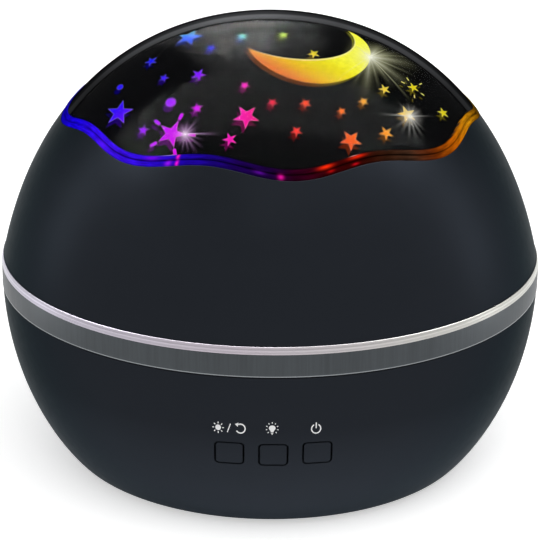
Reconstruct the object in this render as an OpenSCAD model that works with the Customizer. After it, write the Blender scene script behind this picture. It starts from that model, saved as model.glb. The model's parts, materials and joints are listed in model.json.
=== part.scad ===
// Star night light projector: a ball-shaped lamp whose upper half turns on a fixed base.
// Millimetres. Origin on the table under the ball's axis, +Z up, push buttons towards -Y.

/* [Ball] */
// Diameter of the ball at its ring
body_d = 130; // [126:1:140]
// Height of the clear dome's top above the widest plane
dome_h = 58.5; // [56:0.5:64]
// Depth of the flat underside below the widest plane
bowl_h = 46.5; // [45:0.5:52]
// Height that the rubber feet lift the underside
foot_h = 1.5; // [1:0.1:3]
// Wall of the two black shells and of the clear dome
wall = 1.8; // [1.6:0.1:2.4]

/* [Ring] */
// Depth of the brushed band's lower edge below the widest plane
band_drop = 4.4; // [4:0.1:6]
// Height of the brushed band
band_h = 5.25; // [4.5:0.05:6]
// Height of the bright strip on top of the band
strip_h = 1.8; // [1.2:0.1:2]
// Running gap between the bright strip and the turning shell
turn_gap = 0.4; // [0.3:0.1:0.8]

/* [Wavy edge] */
// Number of waves round the opening
wave_count = 8; // [6:1:12]
// Mean elevation of the wavy edge, in degrees above the widest plane
wave_angle = 36.3; // [35:0.1:40]
// Half the height of a wave, in degrees of elevation
wave_rise = 1.3; // [0.5:0.1:2]
// Azimuth of one wave trough, in degrees right of the front
wave_phase = 6; // [0:1:45]
// Width of the glowing rim, in degrees of elevation
rim_angle = 2.5; // [2:0.1:4]

/* [Star film] */
// Depth of the film under the dome's outer surface
film_depth = 2.1; // [2:0.1:3]
// Thickness of the film
film_t = 0.4; // [0.3:0.1:0.8]
// Angle above the horizontal from which the front figures are laid out
film_lean = 28; // [24:1:32]
// Size of the stars and dots against their drawn size
star_scale = 1; // [0.8:0.05:1.15]

/* [Buttons] */
// Width of a button cap
button_w = 6; // [5:0.2:7]
// Height of a button cap
button_h = 5.8; // [4:0.2:6]
// Distance between neighbouring buttons
button_pitch = 9.7; // [8.5:0.1:11]
// Height of the buttons' centres above the table
button_z = 23.3; // [22:0.1:26]
// Sideways place of the middle button
button_x = 1.1; // [-2:0.1:2]
// Gap all round a cap
button_gap = 0.3; // [0.2:0.05:0.4]
// Travel of a button
button_travel = 0.6; // [0.4:0.1:0.6]

/* [Drive] */
// Module of the two spur gears
gear_module = 1; // [0.9:0.05:1]
// Teeth on the turntable's gear
table_teeth = 48; // [44:2:48]
// Teeth on the motor's pinion
pinion_teeth = 16; // [16:1:18]
// Diameter of the motor shaft
shaft_d = 3; // [2:0.5:3]
// Radial gap in each turning fit
running_gap = 0.05; // [0.02:0.01:0.1]

/* [Battery bay] */
// Diameter of a cell
cell_d = 10.5; // [10:0.5:10.5]
// Length of a cell
cell_l = 44.5; // [43:0.5:44.5]
// Distance between neighbouring cells
cell_pitch = 11.2; // [11:0.1:11.4]

/* [Power inlet] */
// Width of the flat oval socket
socket_w = 8.9; // [7.5:0.1:9.4]
// Height of the flat oval socket
socket_h = 3.3; // [2.6:0.1:3.6]
// Height of the socket above the table
socket_z = 22; // [20:1:26]

/* [Hidden] */
$fn = 96;

// Colours
black = [0.13, 0.145, 0.165];
grey = [0.29, 0.30, 0.31];
bright = [0.80, 0.78, 0.80];
white = [0.90, 0.90, 0.88];
steel = [0.70, 0.71, 0.73];
green = [0.07, 0.30, 0.16];

// Main heights and radii
ball_r = body_d / 2;
shell_r = ball_r - 0.1;
z_mid = foot_h + bowl_h;
band_z0 = z_mid - band_drop;
strip_z0 = band_z0 + band_h;
strip_z1 = strip_z0 + strip_h;
skirt_z0 = strip_z1 + turn_gap;
floor_z = foot_h + wall + 0.4;
// Hairline between neighbouring pieces, and the overlap that joins the shapes of one piece
eps = 0.05;
bite = 0.5;

// Meridian of the ball: one cubic curve above the widest plane and one below it
dome_curve = [[shell_r, 0], [0.879 * shell_r, 0.665 * dome_h], [0.49 * shell_r, dome_h], [0, dome_h]];
bowl_curve = [[shell_r, 0], [1.011 * shell_r, -0.655 * bowl_h], [0.777 * shell_r, -bowl_h],
              [0.774 * shell_r, -bowl_h]];
dome_steps = 24;
bowl_steps = 16;

function curve_at(p, t) =
    pow(1 - t, 3) * p[0] + 3 * pow(1 - t, 2) * t * p[1] + 3 * (1 - t) * t * t * p[2] + pow(t, 3) * p[3];
function curve_slope(p, t) =
    3 * pow(1 - t, 2) * (p[1] - p[0]) + 6 * (1 - t) * t * (p[2] - p[1]) + 3 * t * t * (p[3] - p[2]);
// A point on the curve moved inwards by a depth, square to the curve; side is 1 above, -1 below
function inset_at(p, t, depth, side) =
    let (d = curve_slope(p, t) * side / norm(curve_slope(p, t)))
    curve_at(p, t) - depth * [d[1], -d[0]];
// Curve parameter of the bowl at a height below the widest plane, by halving
function bowl_t(z, lo = 0, hi = 1, n = 24) =
    n == 0 ? (lo + hi) / 2
    : let (m = (lo + hi) / 2)
        curve_at(bowl_curve, m)[1] > z ? bowl_t(z, m, hi, n - 1) : bowl_t(z, lo, m, n - 1);

// ---------- Profiles ----------

// Half section of the dome's wall between two depths and two heights
module dome_band_2d(depth_out, depth_in, z0, z1) {
    outer = [for (i = [0:dome_steps]) inset_at(dome_curve, i / dome_steps, depth_out, 1)];
    inner = [for (i = [dome_steps:-1:0]) inset_at(dome_curve, i / dome_steps, depth_in, 1)];
    intersection() {
        polygon(concat(outer, inner));
        translate([0, z0]) square([body_d, z1 - z0]);
    }
}

// Half section of the solid bowl, from the underside up to the ring
module bowl_solid_2d(depth) {
    edge = [for (i = [0:bowl_steps]) inset_at(bowl_curve, i / bowl_steps, depth, -1)];
    intersection() {
        polygon(concat(edge, [[0, depth - bowl_h], [0, 0]]));
        translate([0, -bowl_h]) square([body_d, bowl_h - band_drop]);
    }
}

module dome_band(depth_out, depth_in, z0, z1)
    translate([0, 0, z_mid]) rotate_extrude() dome_band_2d(depth_out, depth_in, z0, z1);

module bowl_solid(depth)
    translate([0, 0, z_mid]) rotate_extrude() bowl_solid_2d(depth);

// Curve parameter where the wall at a depth first meets a test, by halving
function dome_t(depth, beyond, lo = 0, hi = 1, n = 22) =
    n == 0 ? (lo + hi) / 2
    : let (m = (lo + hi) / 2)
        beyond(inset_at(dome_curve, m, depth, 1)) ? dome_t(depth, beyond, lo, m, n - 1)
        : dome_t(depth, beyond, m, hi, n - 1);
function t_at_height(z, depth) = dome_t(depth, function (p) p[1] > z);
function t_at_angle(a, depth) = dome_t(depth, function (p) atan2(p[1], p[0]) > a);

// Elevation of the wavy edge at an azimuth right of the front
function wave_at(azimuth) = wave_angle - wave_rise * cos(wave_count * (azimuth - wave_phase));

// Points of the wall at one depth and azimuth, between two curve parameters
function wall_line(azimuth, t0, t1, depth, steps) =
    [for (i = [0:steps])
        let (p = inset_at(dome_curve, t0 + (t1 - t0) * i / steps, depth, 1))
        [p[0] * sin(azimuth), -p[0] * cos(azimuth), z_mid + p[1]]];

// Closed tube through closed outlines that all have the same number of points
wave_steps = 96;
azimuths = [for (i = [0:wave_steps - 1]) i * 360 / wave_steps];
module loft(outlines) {
    n = len(outlines);
    k = len(outlines[0]);
    polyhedron([for (s = outlines) each s], [for (i = [0:n - 1], j = [0:k - 1])
        let (a = i * k + j, b = i * k + (j + 1) % k,
             c = (i + 1) % n * k + (j + 1) % k, d = (i + 1) % n * k + j)
        each [[a, b, c], [a, c, d]]]);
}

// Closed cap whose lines all run from one point on the axis to another
module capped_loft(lines, start, finish) {
    n = len(lines);
    k = len(lines[0]);
    polyhedron(concat([for (s = lines) each s], [start, finish]), [for (i = [0:n - 1])
        let (a = i * k, b = (i + 1) % n * k)
        each concat([[n * k, a, b], [n * k + 1, b + k - 1, a + k - 1]],
            [for (j = [0:k - 2]) each [[a + j, a + j + 1, b + j + 1], [a + j, b + j + 1, b + j]]])]);
}

module ring(r0, r1, z0, z1)
    translate([0, 0, z0]) rotate_extrude() translate([r0, 0]) square([r1 - r0, z1 - z0]);

// Part of a ring, from one azimuth right of the front to another
module ring_part(r0, r1, z0, z1, from, to)
    translate([0, 0, z0]) rotate([0, 0, from - 90])
        rotate_extrude(angle = to - from) translate([r0, 0]) square([r1 - r0, z1 - z0]);

module round_rect(w, h, r) {
    square([w - 2 * r, h], center = true);
    square([w, h - 2 * r], center = true);
    for (x = [-1, 1], y = [-1, 1]) translate([x * (w / 2 - r), y * (h / 2 - r)]) circle(r);
}

module four_places(r) for (a = [45:90:315]) rotate([0, 0, a]) translate([r, 0, 0]) children();

// ---------- Base ----------

screw_ring_r = 43;
foot_r = 4;
foot_recess = 0.8;
foot_boss_r = 4.9;
post_r = 3.6;
post_split_z = 14;
screw_head_z = 5.6;
screw_head_r = 2.8;
screw_head_h = 2.4;
screw_r = 1.25;
screw_l = 17;
slot_w = 0.8;
screw_hole_r = 1.6;
screw_seat_t = 1.1;
deck_seat_w = 3;
deck_seat_t = 1.5;
deck_seat_drop = 5;

// Battery bay, centred under the axis
bay_x = 25.4;
bay_y = 23.8;
bay_wall = 2.4;
bay_z = 6.2;
box_top_z = 16.6;
door_t = 2;
hinge_y = 21.6;
hinge_z = foot_h + 1.9;
hinge_pin_r = 1.2;
latch_y = -28.8;
latch_boss_z = 9;
latch_boss_r = 4.4;
latch_lip = 1.6;
latch_w = 12;
latch_hole_r = 1.7;
hinge_pin_l = 2;
door_gap = 0.3;

// Frame on the buttons' place: local +Z into the base, square to the wall, local +X sideways
button_t = bowl_t(button_z - z_mid);
button_r = curve_at(bowl_curve, button_t)[0];
button_slope = curve_slope(bowl_curve, button_t);
button_tilt = atan2(-button_slope[0], -button_slope[1]);
module at_buttons(x = 0)
    translate([x, -button_r, button_z]) rotate([-(90 - button_tilt), 0, 0]) children();
button_row = [button_x - button_pitch, button_x, button_x + button_pitch];

// A cap's blank and the opening's cutter both start this far outside the wall
blank = 4;
button_corner = 0.8;
flange_z = 4.3;
flange_t = 1.2;
flange_size = [8.6, 7.4];
flange_clear = 0.5;
plunger_gap = button_travel + 0.1;
plunger_l = 1;
plunger_r = 1.7;
switch_z = flange_z + flange_t + plunger_gap + plunger_l;
switch_t = 3.5;
switch_w = 6;
board_t = 1.2;
switch_board_w = 40;
switch_board_h = 10;
switch_post_x = 17;
switch_post_r = 2;

// Flat oval power socket at the back, in a well that takes the plug's body
socket_face_y = 58.2;
socket_depth = 7.3;
socket_boss_y = 54;
socket_boss = 8;
plug_room = 4;
module oval(w, h) {
    square([w - h, h], center = true);
    for (x = [-1, 1]) translate([x * (w - h) / 2, 0]) circle(d = h);
}
module at_socket(y) translate([0, y, socket_z]) rotate([-90, 0, 0]) children();

module button_opening(x)
    at_buttons(x) translate([0, 0, -blank]) linear_extrude(blank + flange_z - flange_clear)
        round_rect(button_w + 2 * button_gap, button_h + 2 * button_gap, 1);

module base_shell() color(black) difference() {
    union() {
        difference() {
            bowl_solid(0);
            translate([0, 0, z_mid]) rotate_extrude() intersection() {
                bowl_solid_2d(wall);
                translate([0, floor_z - z_mid]) square([body_d, bowl_h]);
            }
        }
        // Ledge that carries the deck
        translate([0, 0, band_z0]) rotate_extrude()
            polygon([[shell_r - wall - deck_seat_w, 0], [shell_r - wall - deck_seat_w, -deck_seat_t],
                     [shell_r - wall + bite, -deck_seat_drop], [shell_r - wall + bite, 0]]);
        // Collar round the battery bay
        translate([0, 0, floor_z - bite]) linear_extrude(bay_z - floor_z + bite)
            square([2 * (bay_x + bay_wall), 2 * (bay_y + bay_wall)], center = true);
        four_places(screw_ring_r) translate([0, 0, foot_h + bite]) {
            cylinder(r = post_r, h = post_split_z - foot_h - bite);
            cylinder(r = foot_boss_r, h = screw_head_z + screw_head_h + screw_seat_t - foot_h - bite);
        }
        intersection() {
            bowl_solid(0.3);
            union() {
                at_socket(socket_boss_y) linear_extrude(15)
                    oval(socket_w + socket_boss, socket_h + socket_boss);
                for (x = [-1, 1])
                    at_buttons(button_x + x * switch_post_x)
                        cylinder(r = switch_post_r, h = switch_z + switch_t);
                translate([0, latch_y, foot_h + 0.4]) 
                    cylinder(r = latch_boss_r, h = latch_boss_z - foot_h - 0.4);
            }
        }
    }
    // Battery bay and the box over it, the door's latch tab, its hinge pins and its screw
    translate([0, 0, bay_z]) linear_extrude(latch_boss_z)
        square([2 * (bay_x + bay_wall), 2 * (bay_y + bay_wall)], center = true);
    translate([0, 0, foot_h - 1]) linear_extrude(12) square([2 * bay_x, 2 * bay_y], center = true);
    translate([0, 0, foot_h - 1]) linear_extrude(1 + latch_lip + 0.2)
        translate([0, (latch_y - bay_y) / 2]) square([latch_w + 1, -latch_y - bay_y + 8], center = true);
    translate([-bay_x - hinge_pin_l, hinge_y, hinge_z]) rotate([0, 90, 0])
        cylinder(r = hinge_pin_r + running_gap, h = 2 * (bay_x + hinge_pin_l));
    translate([0, latch_y, foot_h]) cylinder(r = latch_hole_r, h = latch_boss_z - foot_h - 0.8);
    four_places(screw_ring_r) {
        translate([0, 0, foot_h - 1]) cylinder(r = foot_r + 0.2, h = 1 + foot_recess);
        translate([0, 0, foot_h])
            cylinder(r = screw_head_r + 0.2, h = screw_head_z + screw_head_h - foot_h);
        cylinder(r = screw_hole_r, h = post_split_z + 1);
    }
    for (x = button_row) button_opening(x);
    at_socket(socket_face_y) linear_extrude(9) oval(socket_w + plug_room, socket_h + plug_room);
    at_socket(socket_boss_y - 1) linear_extrude(9) oval(socket_w + 0.2, socket_h + 0.2);
}

// Hoop with its outer face at the ball's radius and small chamfers at both edges
module hoop(z0, z1, chamfer_low, chamfer_high) {
    r0 = ball_r - 2;
    translate([0, 0, z0]) rotate_extrude()
        polygon([[r0, 0], [ball_r - chamfer_low, 0], [ball_r, chamfer_low], [ball_r, z1 - z0 - chamfer_high],
                 [ball_r - chamfer_high, z1 - z0], [r0, z1 - z0]]);
}

module grey_band() color(grey) hoop(band_z0 + eps, strip_z0, 0.3, 0.1);

module bright_strip() color(bright) difference() {
    hoop(strip_z0, strip_z1, 0.1, 0.35);
    ring(ball_r - 0.12, ball_r + 1, strip_z0 + 1.05, strip_z0 + 1.2);
}

// Centre boss on which the turntable runs, with a groove for its clip
boss_r = 13;
boss_bore_r = 10.5;
boss_top = z_mid + 12;
deck_top = band_z0 + 2.4;
hub_z0 = deck_top + 1;
gear_face = 4;
disc_z0 = z_mid + 5;
disc_t = 2;
clip_z = disc_z0 + disc_t + 0.1;
clip_t = 0.9;
motor_y = gear_module * (table_teeth + pinion_teeth) / 2;
motor_ear_x = 15.5;
motor_post_r = 2.6;
motor_screw_r = 1.2;
motor_neck_r = 3.8;

module deck() color(black) difference() {
    union() {
        ring(boss_bore_r - 3, ball_r - 2.1, band_z0, deck_top);
        ring(ball_r - 4, ball_r - 2.1, band_z0, strip_z1 - 0.4);
        ring(boss_bore_r, boss_r, band_z0, boss_top);
        four_places(screw_ring_r) translate([0, 0, post_split_z + 0.1])
            cylinder(r = post_r, h = band_z0 - post_split_z);
        for (x = [-1, 1]) translate([x * motor_ear_x, motor_y, band_z0])
            cylinder(r = motor_post_r, h = 5);
    }
    ring(boss_r - 0.8, boss_r + 1, clip_z - eps, clip_z + clip_t + eps);
    translate([0, motor_y, band_z0 - 1]) cylinder(r = motor_neck_r + 0.4, h = 6);
    for (x = [-1, 1]) translate([x * motor_ear_x, motor_y, band_z0 - 1])
        cylinder(r = motor_screw_r + running_gap, h = 5.2);
    four_places(screw_ring_r) translate([0, 0, post_split_z]) cylinder(r = screw_r + running_gap, h = 12);
}

module battery_box() color([0.16, 0.17, 0.19]) {
    difference() {
        translate([0, 0, bay_z]) linear_extrude(box_top_z - bay_z)
            square([2 * (bay_x + bay_wall), 2 * (bay_y + bay_wall)], center = true);
        translate([0, 0, bay_z - 1]) linear_extrude(box_top_z - bay_z - 0.6)
            square([2 * bay_x, 2 * bay_y], center = true);
    }
    for (y = [-1, 0, 1]) translate([0, y * cell_pitch, 13.6]) cube([40, 0.7, 3], center = true);
    for (x = board_post_x, y = board_post_y) translate([x, y, box_top_z - 0.2]) difference() {
        cylinder(r = board_post_r, h = board_z - box_top_z + 0.2);
        translate([0, 0, 0.6]) cylinder(r = board_screw_r + running_gap, h = board_z);
    }
}

cell_z = foot_h + door_t + 0.6 + cell_d / 2;
contact_t = 0.4;
spring_l = 2 * bay_x - 2 * contact_t - cell_l;
module each_cell() for (i = [0:3])
    translate([0, (i - 1.5) * cell_pitch, cell_z]) rotate([0, 0, i % 2 == 0 ? 0 : 180]) children();

module battery_cells() color([0.75, 0.55, 0.2]) each_cell()
    translate([bay_x - contact_t - cell_l, 0, 0]) rotate([0, 90, 0]) {
        cylinder(d = cell_d, h = cell_l - 1);
        cylinder(r = 1.9, h = cell_l);
    }

module battery_contacts() color(steel) {
    for (x = [-1, 1]) {
        spans = x > 0 ? [[-1.5, -1.5], [-0.5, 0.5], [1.5, 1.5]] : [[-1.5, -0.5], [0.5, 1.5]];
        for (s = spans) translate([x * (bay_x - contact_t / 2), (s[0] + s[1]) / 2 * cell_pitch, cell_z])
            cube([contact_t, (s[1] - s[0]) * cell_pitch + 7, 7], center = true);
    }
}

// Round wire swept along points; every ring has the same number of sides
function unit(v) = v / norm(v);
function wire_ring(p, dir, r, sides) =
    let (side = unit(cross(dir, abs(dir[2]) > 0.9 ? [1, 0, 0] : [0, 0, 1])), up = cross(side, dir))
    [for (k = [0:sides - 1]) p + r * (cos(k * 360 / sides) * side + sin(k * 360 / sides) * up)];
module wire(path, r, sides = 6) {
    n = len(path);
    points = [for (i = [0:n - 1])
        each wire_ring(path[i], unit(path[min(i + 1, n - 1)] - path[max(i - 1, 0)]), r, sides)];
    walls = [for (i = [0:n - 2], k = [0:sides - 1])
        let (a = i * sides + k, b = i * sides + (k + 1) % sides)
        each [[a, b, b + sides], [a, b + sides, a + sides]]];
    start = [for (k = [sides - 1:-1:0]) k];
    finish = [for (k = [0:sides - 1]) (n - 1) * sides + k];
    polyhedron(points, concat(walls, [start], [finish]));
}

// Points on a smooth curve through hand-placed points
function smooth_path(p, steps = 3) =
    let (n = len(p))
    concat([for (i = [0:n - 2], j = [0:steps - 1])
        let (t = j / steps, a = p[max(i - 1, 0)], b = p[i], c = p[i + 1], d = p[min(i + 2, n - 1)])
        0.5 * (2 * b + (c - a) * t + (2 * a - 5 * b + 4 * c - d) * t * t
               + (3 * b - a - 3 * c + d) * t * t * t)], [p[n - 1]]);

// Conical contact springs at the flat ends of the cells
module battery_springs() color(steel) {
    turns = 4;
    per_turn = 9;
    wire_r = 0.3;
    spring_r = [3.4, 2.1];
    each_cell() wire([for (i = [0:turns * per_turn])
        let (a = i * 360 / per_turn, f = i / (turns * per_turn),
             r = spring_r[0] + (spring_r[1] - spring_r[0]) * f)
        [-bay_x + contact_t + wire_r + f * (spring_l - 2 * wire_r), r * cos(a), r * sin(a)]], wire_r);
}

module rubber_feet() color([0.1, 0.1, 0.1]) four_places(screw_ring_r) rotate_extrude()
    polygon([[0, 0], [foot_r - 0.5, 0], [foot_r, 0.5], [foot_r, foot_h + foot_recess - eps],
             [0, foot_h + foot_recess - eps]]);

module housing_screws() color(steel) four_places(screw_ring_r) {
    translate([0, 0, screw_head_z]) difference() {
        cylinder(r = screw_head_r, h = screw_head_h);
        translate([0, 0, 0.6]) cube([slot_w, 4, 1.6], center = true);
    }
    translate([0, 0, screw_head_z + 2]) cylinder(r = screw_r, h = screw_l);
}

// ---------- Drive ----------

motor_z0 = band_z0 - 18.5;
motor_r = 12;
motor_ear_r = 3.2;
plate_z0 = band_z0 - 1.1;
plate_t = 1;
module gear_motor() color(steel) translate([0, motor_y, 0]) difference() {
    union() {
        translate([0, 0, motor_z0]) cylinder(r = motor_r, h = plate_z0 - motor_z0);
        translate([0, 0, plate_z0]) linear_extrude(plate_t) {
            square([2 * motor_ear_x, 2 * motor_ear_r], center = true);
            circle(motor_r);
            for (x = [-1, 1]) translate([x * motor_ear_x, 0]) circle(motor_ear_r);
        }
        translate([0, 0, band_z0 - 0.5]) cylinder(r = motor_neck_r, h = 3.1);
        for (x = [-0.5, 0.5]) translate([x * lead_gap, -2, motor_z0 - 1.2])
            cube([1.4, 0.5, 3], center = true);
    }
    for (x = [-1, 1]) translate([x * motor_ear_x, 0, band_z0 - 3])
        cylinder(r = motor_screw_r + 0.1, h = 5);
    translate([0, 0, band_z0 - 3.6]) cylinder(r = shaft_d / 2 + running_gap, h = 10);
}

module motor_screws() color(steel) for (x = [-1, 1]) translate([x * motor_ear_x, motor_y, 0]) {
    translate([0, 0, band_z0 - 2.5]) cylinder(r = 2.2, h = 1.3);
    translate([0, 0, band_z0 - 1.5]) cylinder(r = motor_screw_r, h = 5);
}

// Involute spur gear outline, one tooth on the +X axis
pressure_angle = 20;
backlash = 0.16;
flank_steps = 4;
function involute(a) = tan(a) * 180 / PI - a;
function gear_outline(teeth) =
    let (rp = gear_module * teeth / 2, rb = rp * cos(pressure_angle), rt = rp + 0.92 * gear_module,
         rf = rp - 1.2 * gear_module, r0 = max(rb, rf),
         half = 90 / teeth - backlash / 2 / rp * 180 / PI + involute(pressure_angle))
    [for (k = [0:teeth - 1])
        let (mid = k * 360 / teeth, root = half)
        each concat(
            [rf * [cos(mid - root), sin(mid - root)]],
            [for (j = [0:flank_steps]) let (r = r0 + (rt - r0) * j / flank_steps,
                a = mid - half + involute(acos(min(1, rb / r)))) r * [cos(a), sin(a)]],
            [for (j = [flank_steps:-1:0]) let (r = r0 + (rt - r0) * j / flank_steps,
                a = mid + half - involute(acos(min(1, rb / r)))) r * [cos(a), sin(a)]],
            [rf * [cos(mid + root), sin(mid + root)]])];

disc_r = ball_r - 5.2;
lug_r = ball_r - 7.6;
lug_angles = [60, 180, 300];
lug_half = 6;
notch_half = 9;
spoke_w = 1.6;
hub_w = 4;
module turntable() color(white) difference() {
    union() {
        translate([0, 0, hub_z0]) linear_extrude(gear_face) polygon(gear_outline(table_teeth));
        ring(boss_r, boss_r + hub_w, hub_z0, disc_z0 + disc_t);
        ring(boss_r, disc_r, disc_z0, disc_z0 + disc_t);
        ring(lug_r - 3.4, lug_r - 1.8, disc_z0 - 1, disc_z0 + 0.5);
        for (a = [0:60:300]) rotate([0, 0, a])
            translate([boss_r + 3, -spoke_w / 2, disc_z0 - 1])
                cube([lug_r - boss_r - 5.5, spoke_w, 1 + bite]);
    }
    translate([0, 0, hub_z0 - 1]) cylinder(r = boss_r + running_gap, h = 20);
    for (a = lug_angles)
        ring_part(lug_r - 0.6, ball_r, disc_z0 - 2, disc_z0 + disc_t + 1, a - notch_half, a + notch_half);
}

module drive_gear() color([0.93, 0.93, 0.9]) translate([0, motor_y, hub_z0 + 0.2]) difference() {
    union() {
        linear_extrude(gear_face - 0.4) rotate([0, 0, 180 / pinion_teeth])
            polygon(gear_outline(pinion_teeth));
        cylinder(r = 4.5, h = gear_face);
    }
    translate([0, 0, -1]) cylinder(d = shaft_d, h = 8);
}

module motor_shaft() color(steel) translate([0, motor_y, band_z0 - 3.1])
    cylinder(d = shaft_d, h = hub_z0 + gear_face + 0.4 - band_z0 + 3.1);

module bearing_washer() color([0.85, 0.85, 0.8]) ring(boss_r + 0.2, boss_r + 4.4, deck_top, hub_z0 - eps);

module retaining_clip() color(steel) translate([0, 0, clip_z]) rotate([0, 0, 30])
    rotate_extrude(angle = 300) translate([boss_r - 0.7, 0]) square([3.6, clip_t]);

// ---------- Lamp ----------

post_cap_z = boss_top + 2.2;
post_cap_t = 1.2;
led_board_r = 11;
led_board_t = 1.6;
module led_post() color(white) {
    ring(boss_bore_r - 2, boss_bore_r - 0.1, deck_top, post_cap_z + 0.2);
    ring(2.5, led_board_r + 0.6, post_cap_z, post_cap_z + post_cap_t);
}

led_board_z = post_cap_z + post_cap_t;
module led_board() color(white) ring(1.2, led_board_r, led_board_z, led_board_z + led_board_t);

led_size = 5;
led_t = 1.6;
led_ring_r = 5.6;
led_cup_r = 1.9;
module star_leds() color([0.95, 0.85, 0.4]) four_places(led_ring_r)
    translate([0, 0, led_board_z + led_board_t]) difference() {
        translate([0, 0, led_t / 2]) cube([led_size, led_size, led_t], center = true);
        translate([0, 0, 1]) cylinder(r = led_cup_r, h = 1);
    }

// ---------- Electronics ----------

board_w = 46;
board_d = 30;
board_y = -8;
board_z = 21;
main_board_t = 1.6;
board_screw_r = 0.9;
board_post_r = 2.4;
board_post_x = [-20, 20];
board_post_y = [board_y - 12, board_y + 12];
module main_board() color(green) difference() {
    translate([0, board_y, board_z]) linear_extrude(main_board_t) square([board_w, board_d], center = true);
    for (x = board_post_x, y = board_post_y) translate([x, y, board_z - 1])
        cylinder(r = board_screw_r + 0.3, h = 4);
}

module board_parts() color([0.12, 0.12, 0.13]) translate([0, board_y, board_z + main_board_t]) {
    translate([-7, -2, 0.9]) cube([10, 6, 1.8], center = true);
    translate([5, 2, 0.7]) cube([5, 4, 1.4], center = true);
    translate([13, -4, 0]) cylinder(r = 3.2, h = 8);
    for (x = connector_x) translate([x, 11, 2.5]) cube([5.4, 4.5, 5], center = true);
    for (x = [-4:2:8]) translate([x, -9, 0.3]) cube([1, 1.8, 0.6], center = true);
}

module board_screws() color(steel) for (x = board_post_x, y = board_post_y) translate([x, y, 0]) {
    translate([0, 0, board_z + main_board_t]) cylinder(r = 2, h = 1.2);
    translate([0, 0, board_z - 3.4]) cylinder(r = board_screw_r, h = 5.4);
}

module switch_board() color(green) at_buttons(button_x) translate([0, 0, switch_z + switch_t])
    linear_extrude(board_t) square([switch_board_w, switch_board_h], center = true);

module tact_switches() color([0.2, 0.2, 0.22]) for (x = button_row) at_buttons(x) {
    translate([0, 0, switch_z + switch_t / 2]) cube([switch_w, switch_w, switch_t], center = true);
    translate([0, 0, switch_z - plunger_l]) cylinder(r = plunger_r, h = plunger_l + bite);
}

module button(x) color(black) {
    intersection() {
        bowl_solid(0);
        at_buttons(x) translate([0, 0, -blank]) linear_extrude(blank + flange_z + 0.2)
            round_rect(button_w, button_h, button_corner);
    }
    at_buttons(x) translate([0, 0, flange_z]) linear_extrude(flange_t)
        round_rect(flange_size[0], flange_size[1], 1);
}

module rotation_button() button(button_row[0]);
module light_button() button(button_row[1]);
module power_button() button(button_row[2]);

module power_socket() color(steel) {
    at_socket(socket_face_y - socket_depth) difference() {
        linear_extrude(socket_depth) oval(socket_w, socket_h);
        translate([0, 0, 1]) linear_extrude(socket_depth) oval(socket_w - 0.6, socket_h - 0.6);
    }
    at_socket(socket_face_y - socket_depth) linear_extrude(socket_depth - 0.8)
        square([socket_w - 2.3, 0.7], center = true);
    at_socket(socket_face_y - socket_depth - 1) linear_extrude(1) square([socket_w + 2, 5], center = true);
}

// Pairs of leads to the board's connectors, each along a hand-placed route
lead_r = 0.55;
lead_gap = 2;
connector_x = [-14, -7, 0, 7, 14];
motor_route = [[0, 30, 22.3], [0, 30, 20.5], [0, 26, 18.8], [0, 20, 20], [0, 12, 26], [0, 5, 30.5],
               [0, 3, 29.6], [0, 3, 27.65]];
lamp_route = [[0, 0, 63.3], [0, 0, 55], [0, 0, 47], [-1, 0.5, 41], [-5, 2, 35], [-7, 3, 30],
              [-7, 3, 27.65]];
switch_route = [[-12, -49.8, 26.8], [-12, -46, 28.2], [-13, -34, 31], [-14, -18, 31], [-14, -4, 31.5],
                [-14, 2, 30.5], [-14, 3, 29.4], [-14, 3, 27.65]];
socket_route = [[0, 49.8, 22], [0, 47, 21.6], [5, 44, 19.5], [14, 38, 18.4], [20, 28, 19], [20, 16, 22],
                [16, 8, 28], [14, 4, 30.3], [14, 3, 29.4], [14, 3, 27.65]];
battery_route = [[10, 21, 16.65], [10, 21, 18.5], [10, 17, 22], [9, 12, 26.5], [7.5, 6, 30.3],
                 [7, 3, 29.6], [7, 3, 27.65]];
module lead_pair(route, apart = [1, 0, 0]) for (s = [-0.5, 0.5])
    wire(smooth_path([for (p = route) p + s * lead_gap * apart]), lead_r);

module wire_leads() color([0.75, 0.12, 0.1]) {
    lead_pair(motor_route);
    lead_pair(switch_route);
    lead_pair(socket_route);
    lead_pair(battery_route);
    lead_pair(lamp_route, [0, 1, 0]);
}

// ---------- Battery door ----------

door_screw_r = 1;
door_head_r = 2.1;
door_head_t = 0.8;
module battery_door() color(black) difference() {
    union() {
        translate([0, 0, foot_h]) linear_extrude(door_t)
            translate([0, (hinge_y - bay_y + door_gap) / 2])
                square([2 * (bay_x - door_gap), hinge_y + bay_y - door_gap], center = true);
        translate([-bay_x + door_gap, hinge_y, hinge_z]) rotate([0, 90, 0])
            cylinder(r = hinge_z - foot_h, h = 2 * (bay_x - door_gap));
        translate([-bay_x - hinge_pin_l + door_gap, hinge_y, hinge_z]) rotate([0, 90, 0])
            cylinder(r = hinge_pin_r, h = 2 * (bay_x + hinge_pin_l - door_gap));
        translate([0, 0, foot_h]) linear_extrude(latch_lip)
            translate([0, (latch_y - bay_y) / 2]) square([latch_w, -latch_y - bay_y + 7], center = true);
    }
    translate([0, latch_y, foot_h - 1]) cylinder(r = door_screw_r + 0.1, h = 5);
    translate([0, latch_y, foot_h - 1]) cylinder(r = door_head_r + 0.2, h = 1 + door_head_t + 0.1);
    for (x = [-8:4:8]) translate([x, 8, foot_h]) cube([1.4, 14, 0.8], center = true);
}

module door_screw() color(steel) translate([0, latch_y, foot_h]) {
    translate([0, 0, 0.1]) difference() {
        cylinder(r = door_head_r, h = door_head_t);
        for (a = [0, 90]) rotate([0, 0, a]) cube([2.8, 0.6, 0.8], center = true);
    }
    cylinder(r = door_screw_r, h = 6);
}

// ---------- Cover ----------

// Above this height the black wall is halved and laps over the clear dome's lower lip
lap_z = 32;
lap_depth = 0.9;
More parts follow.
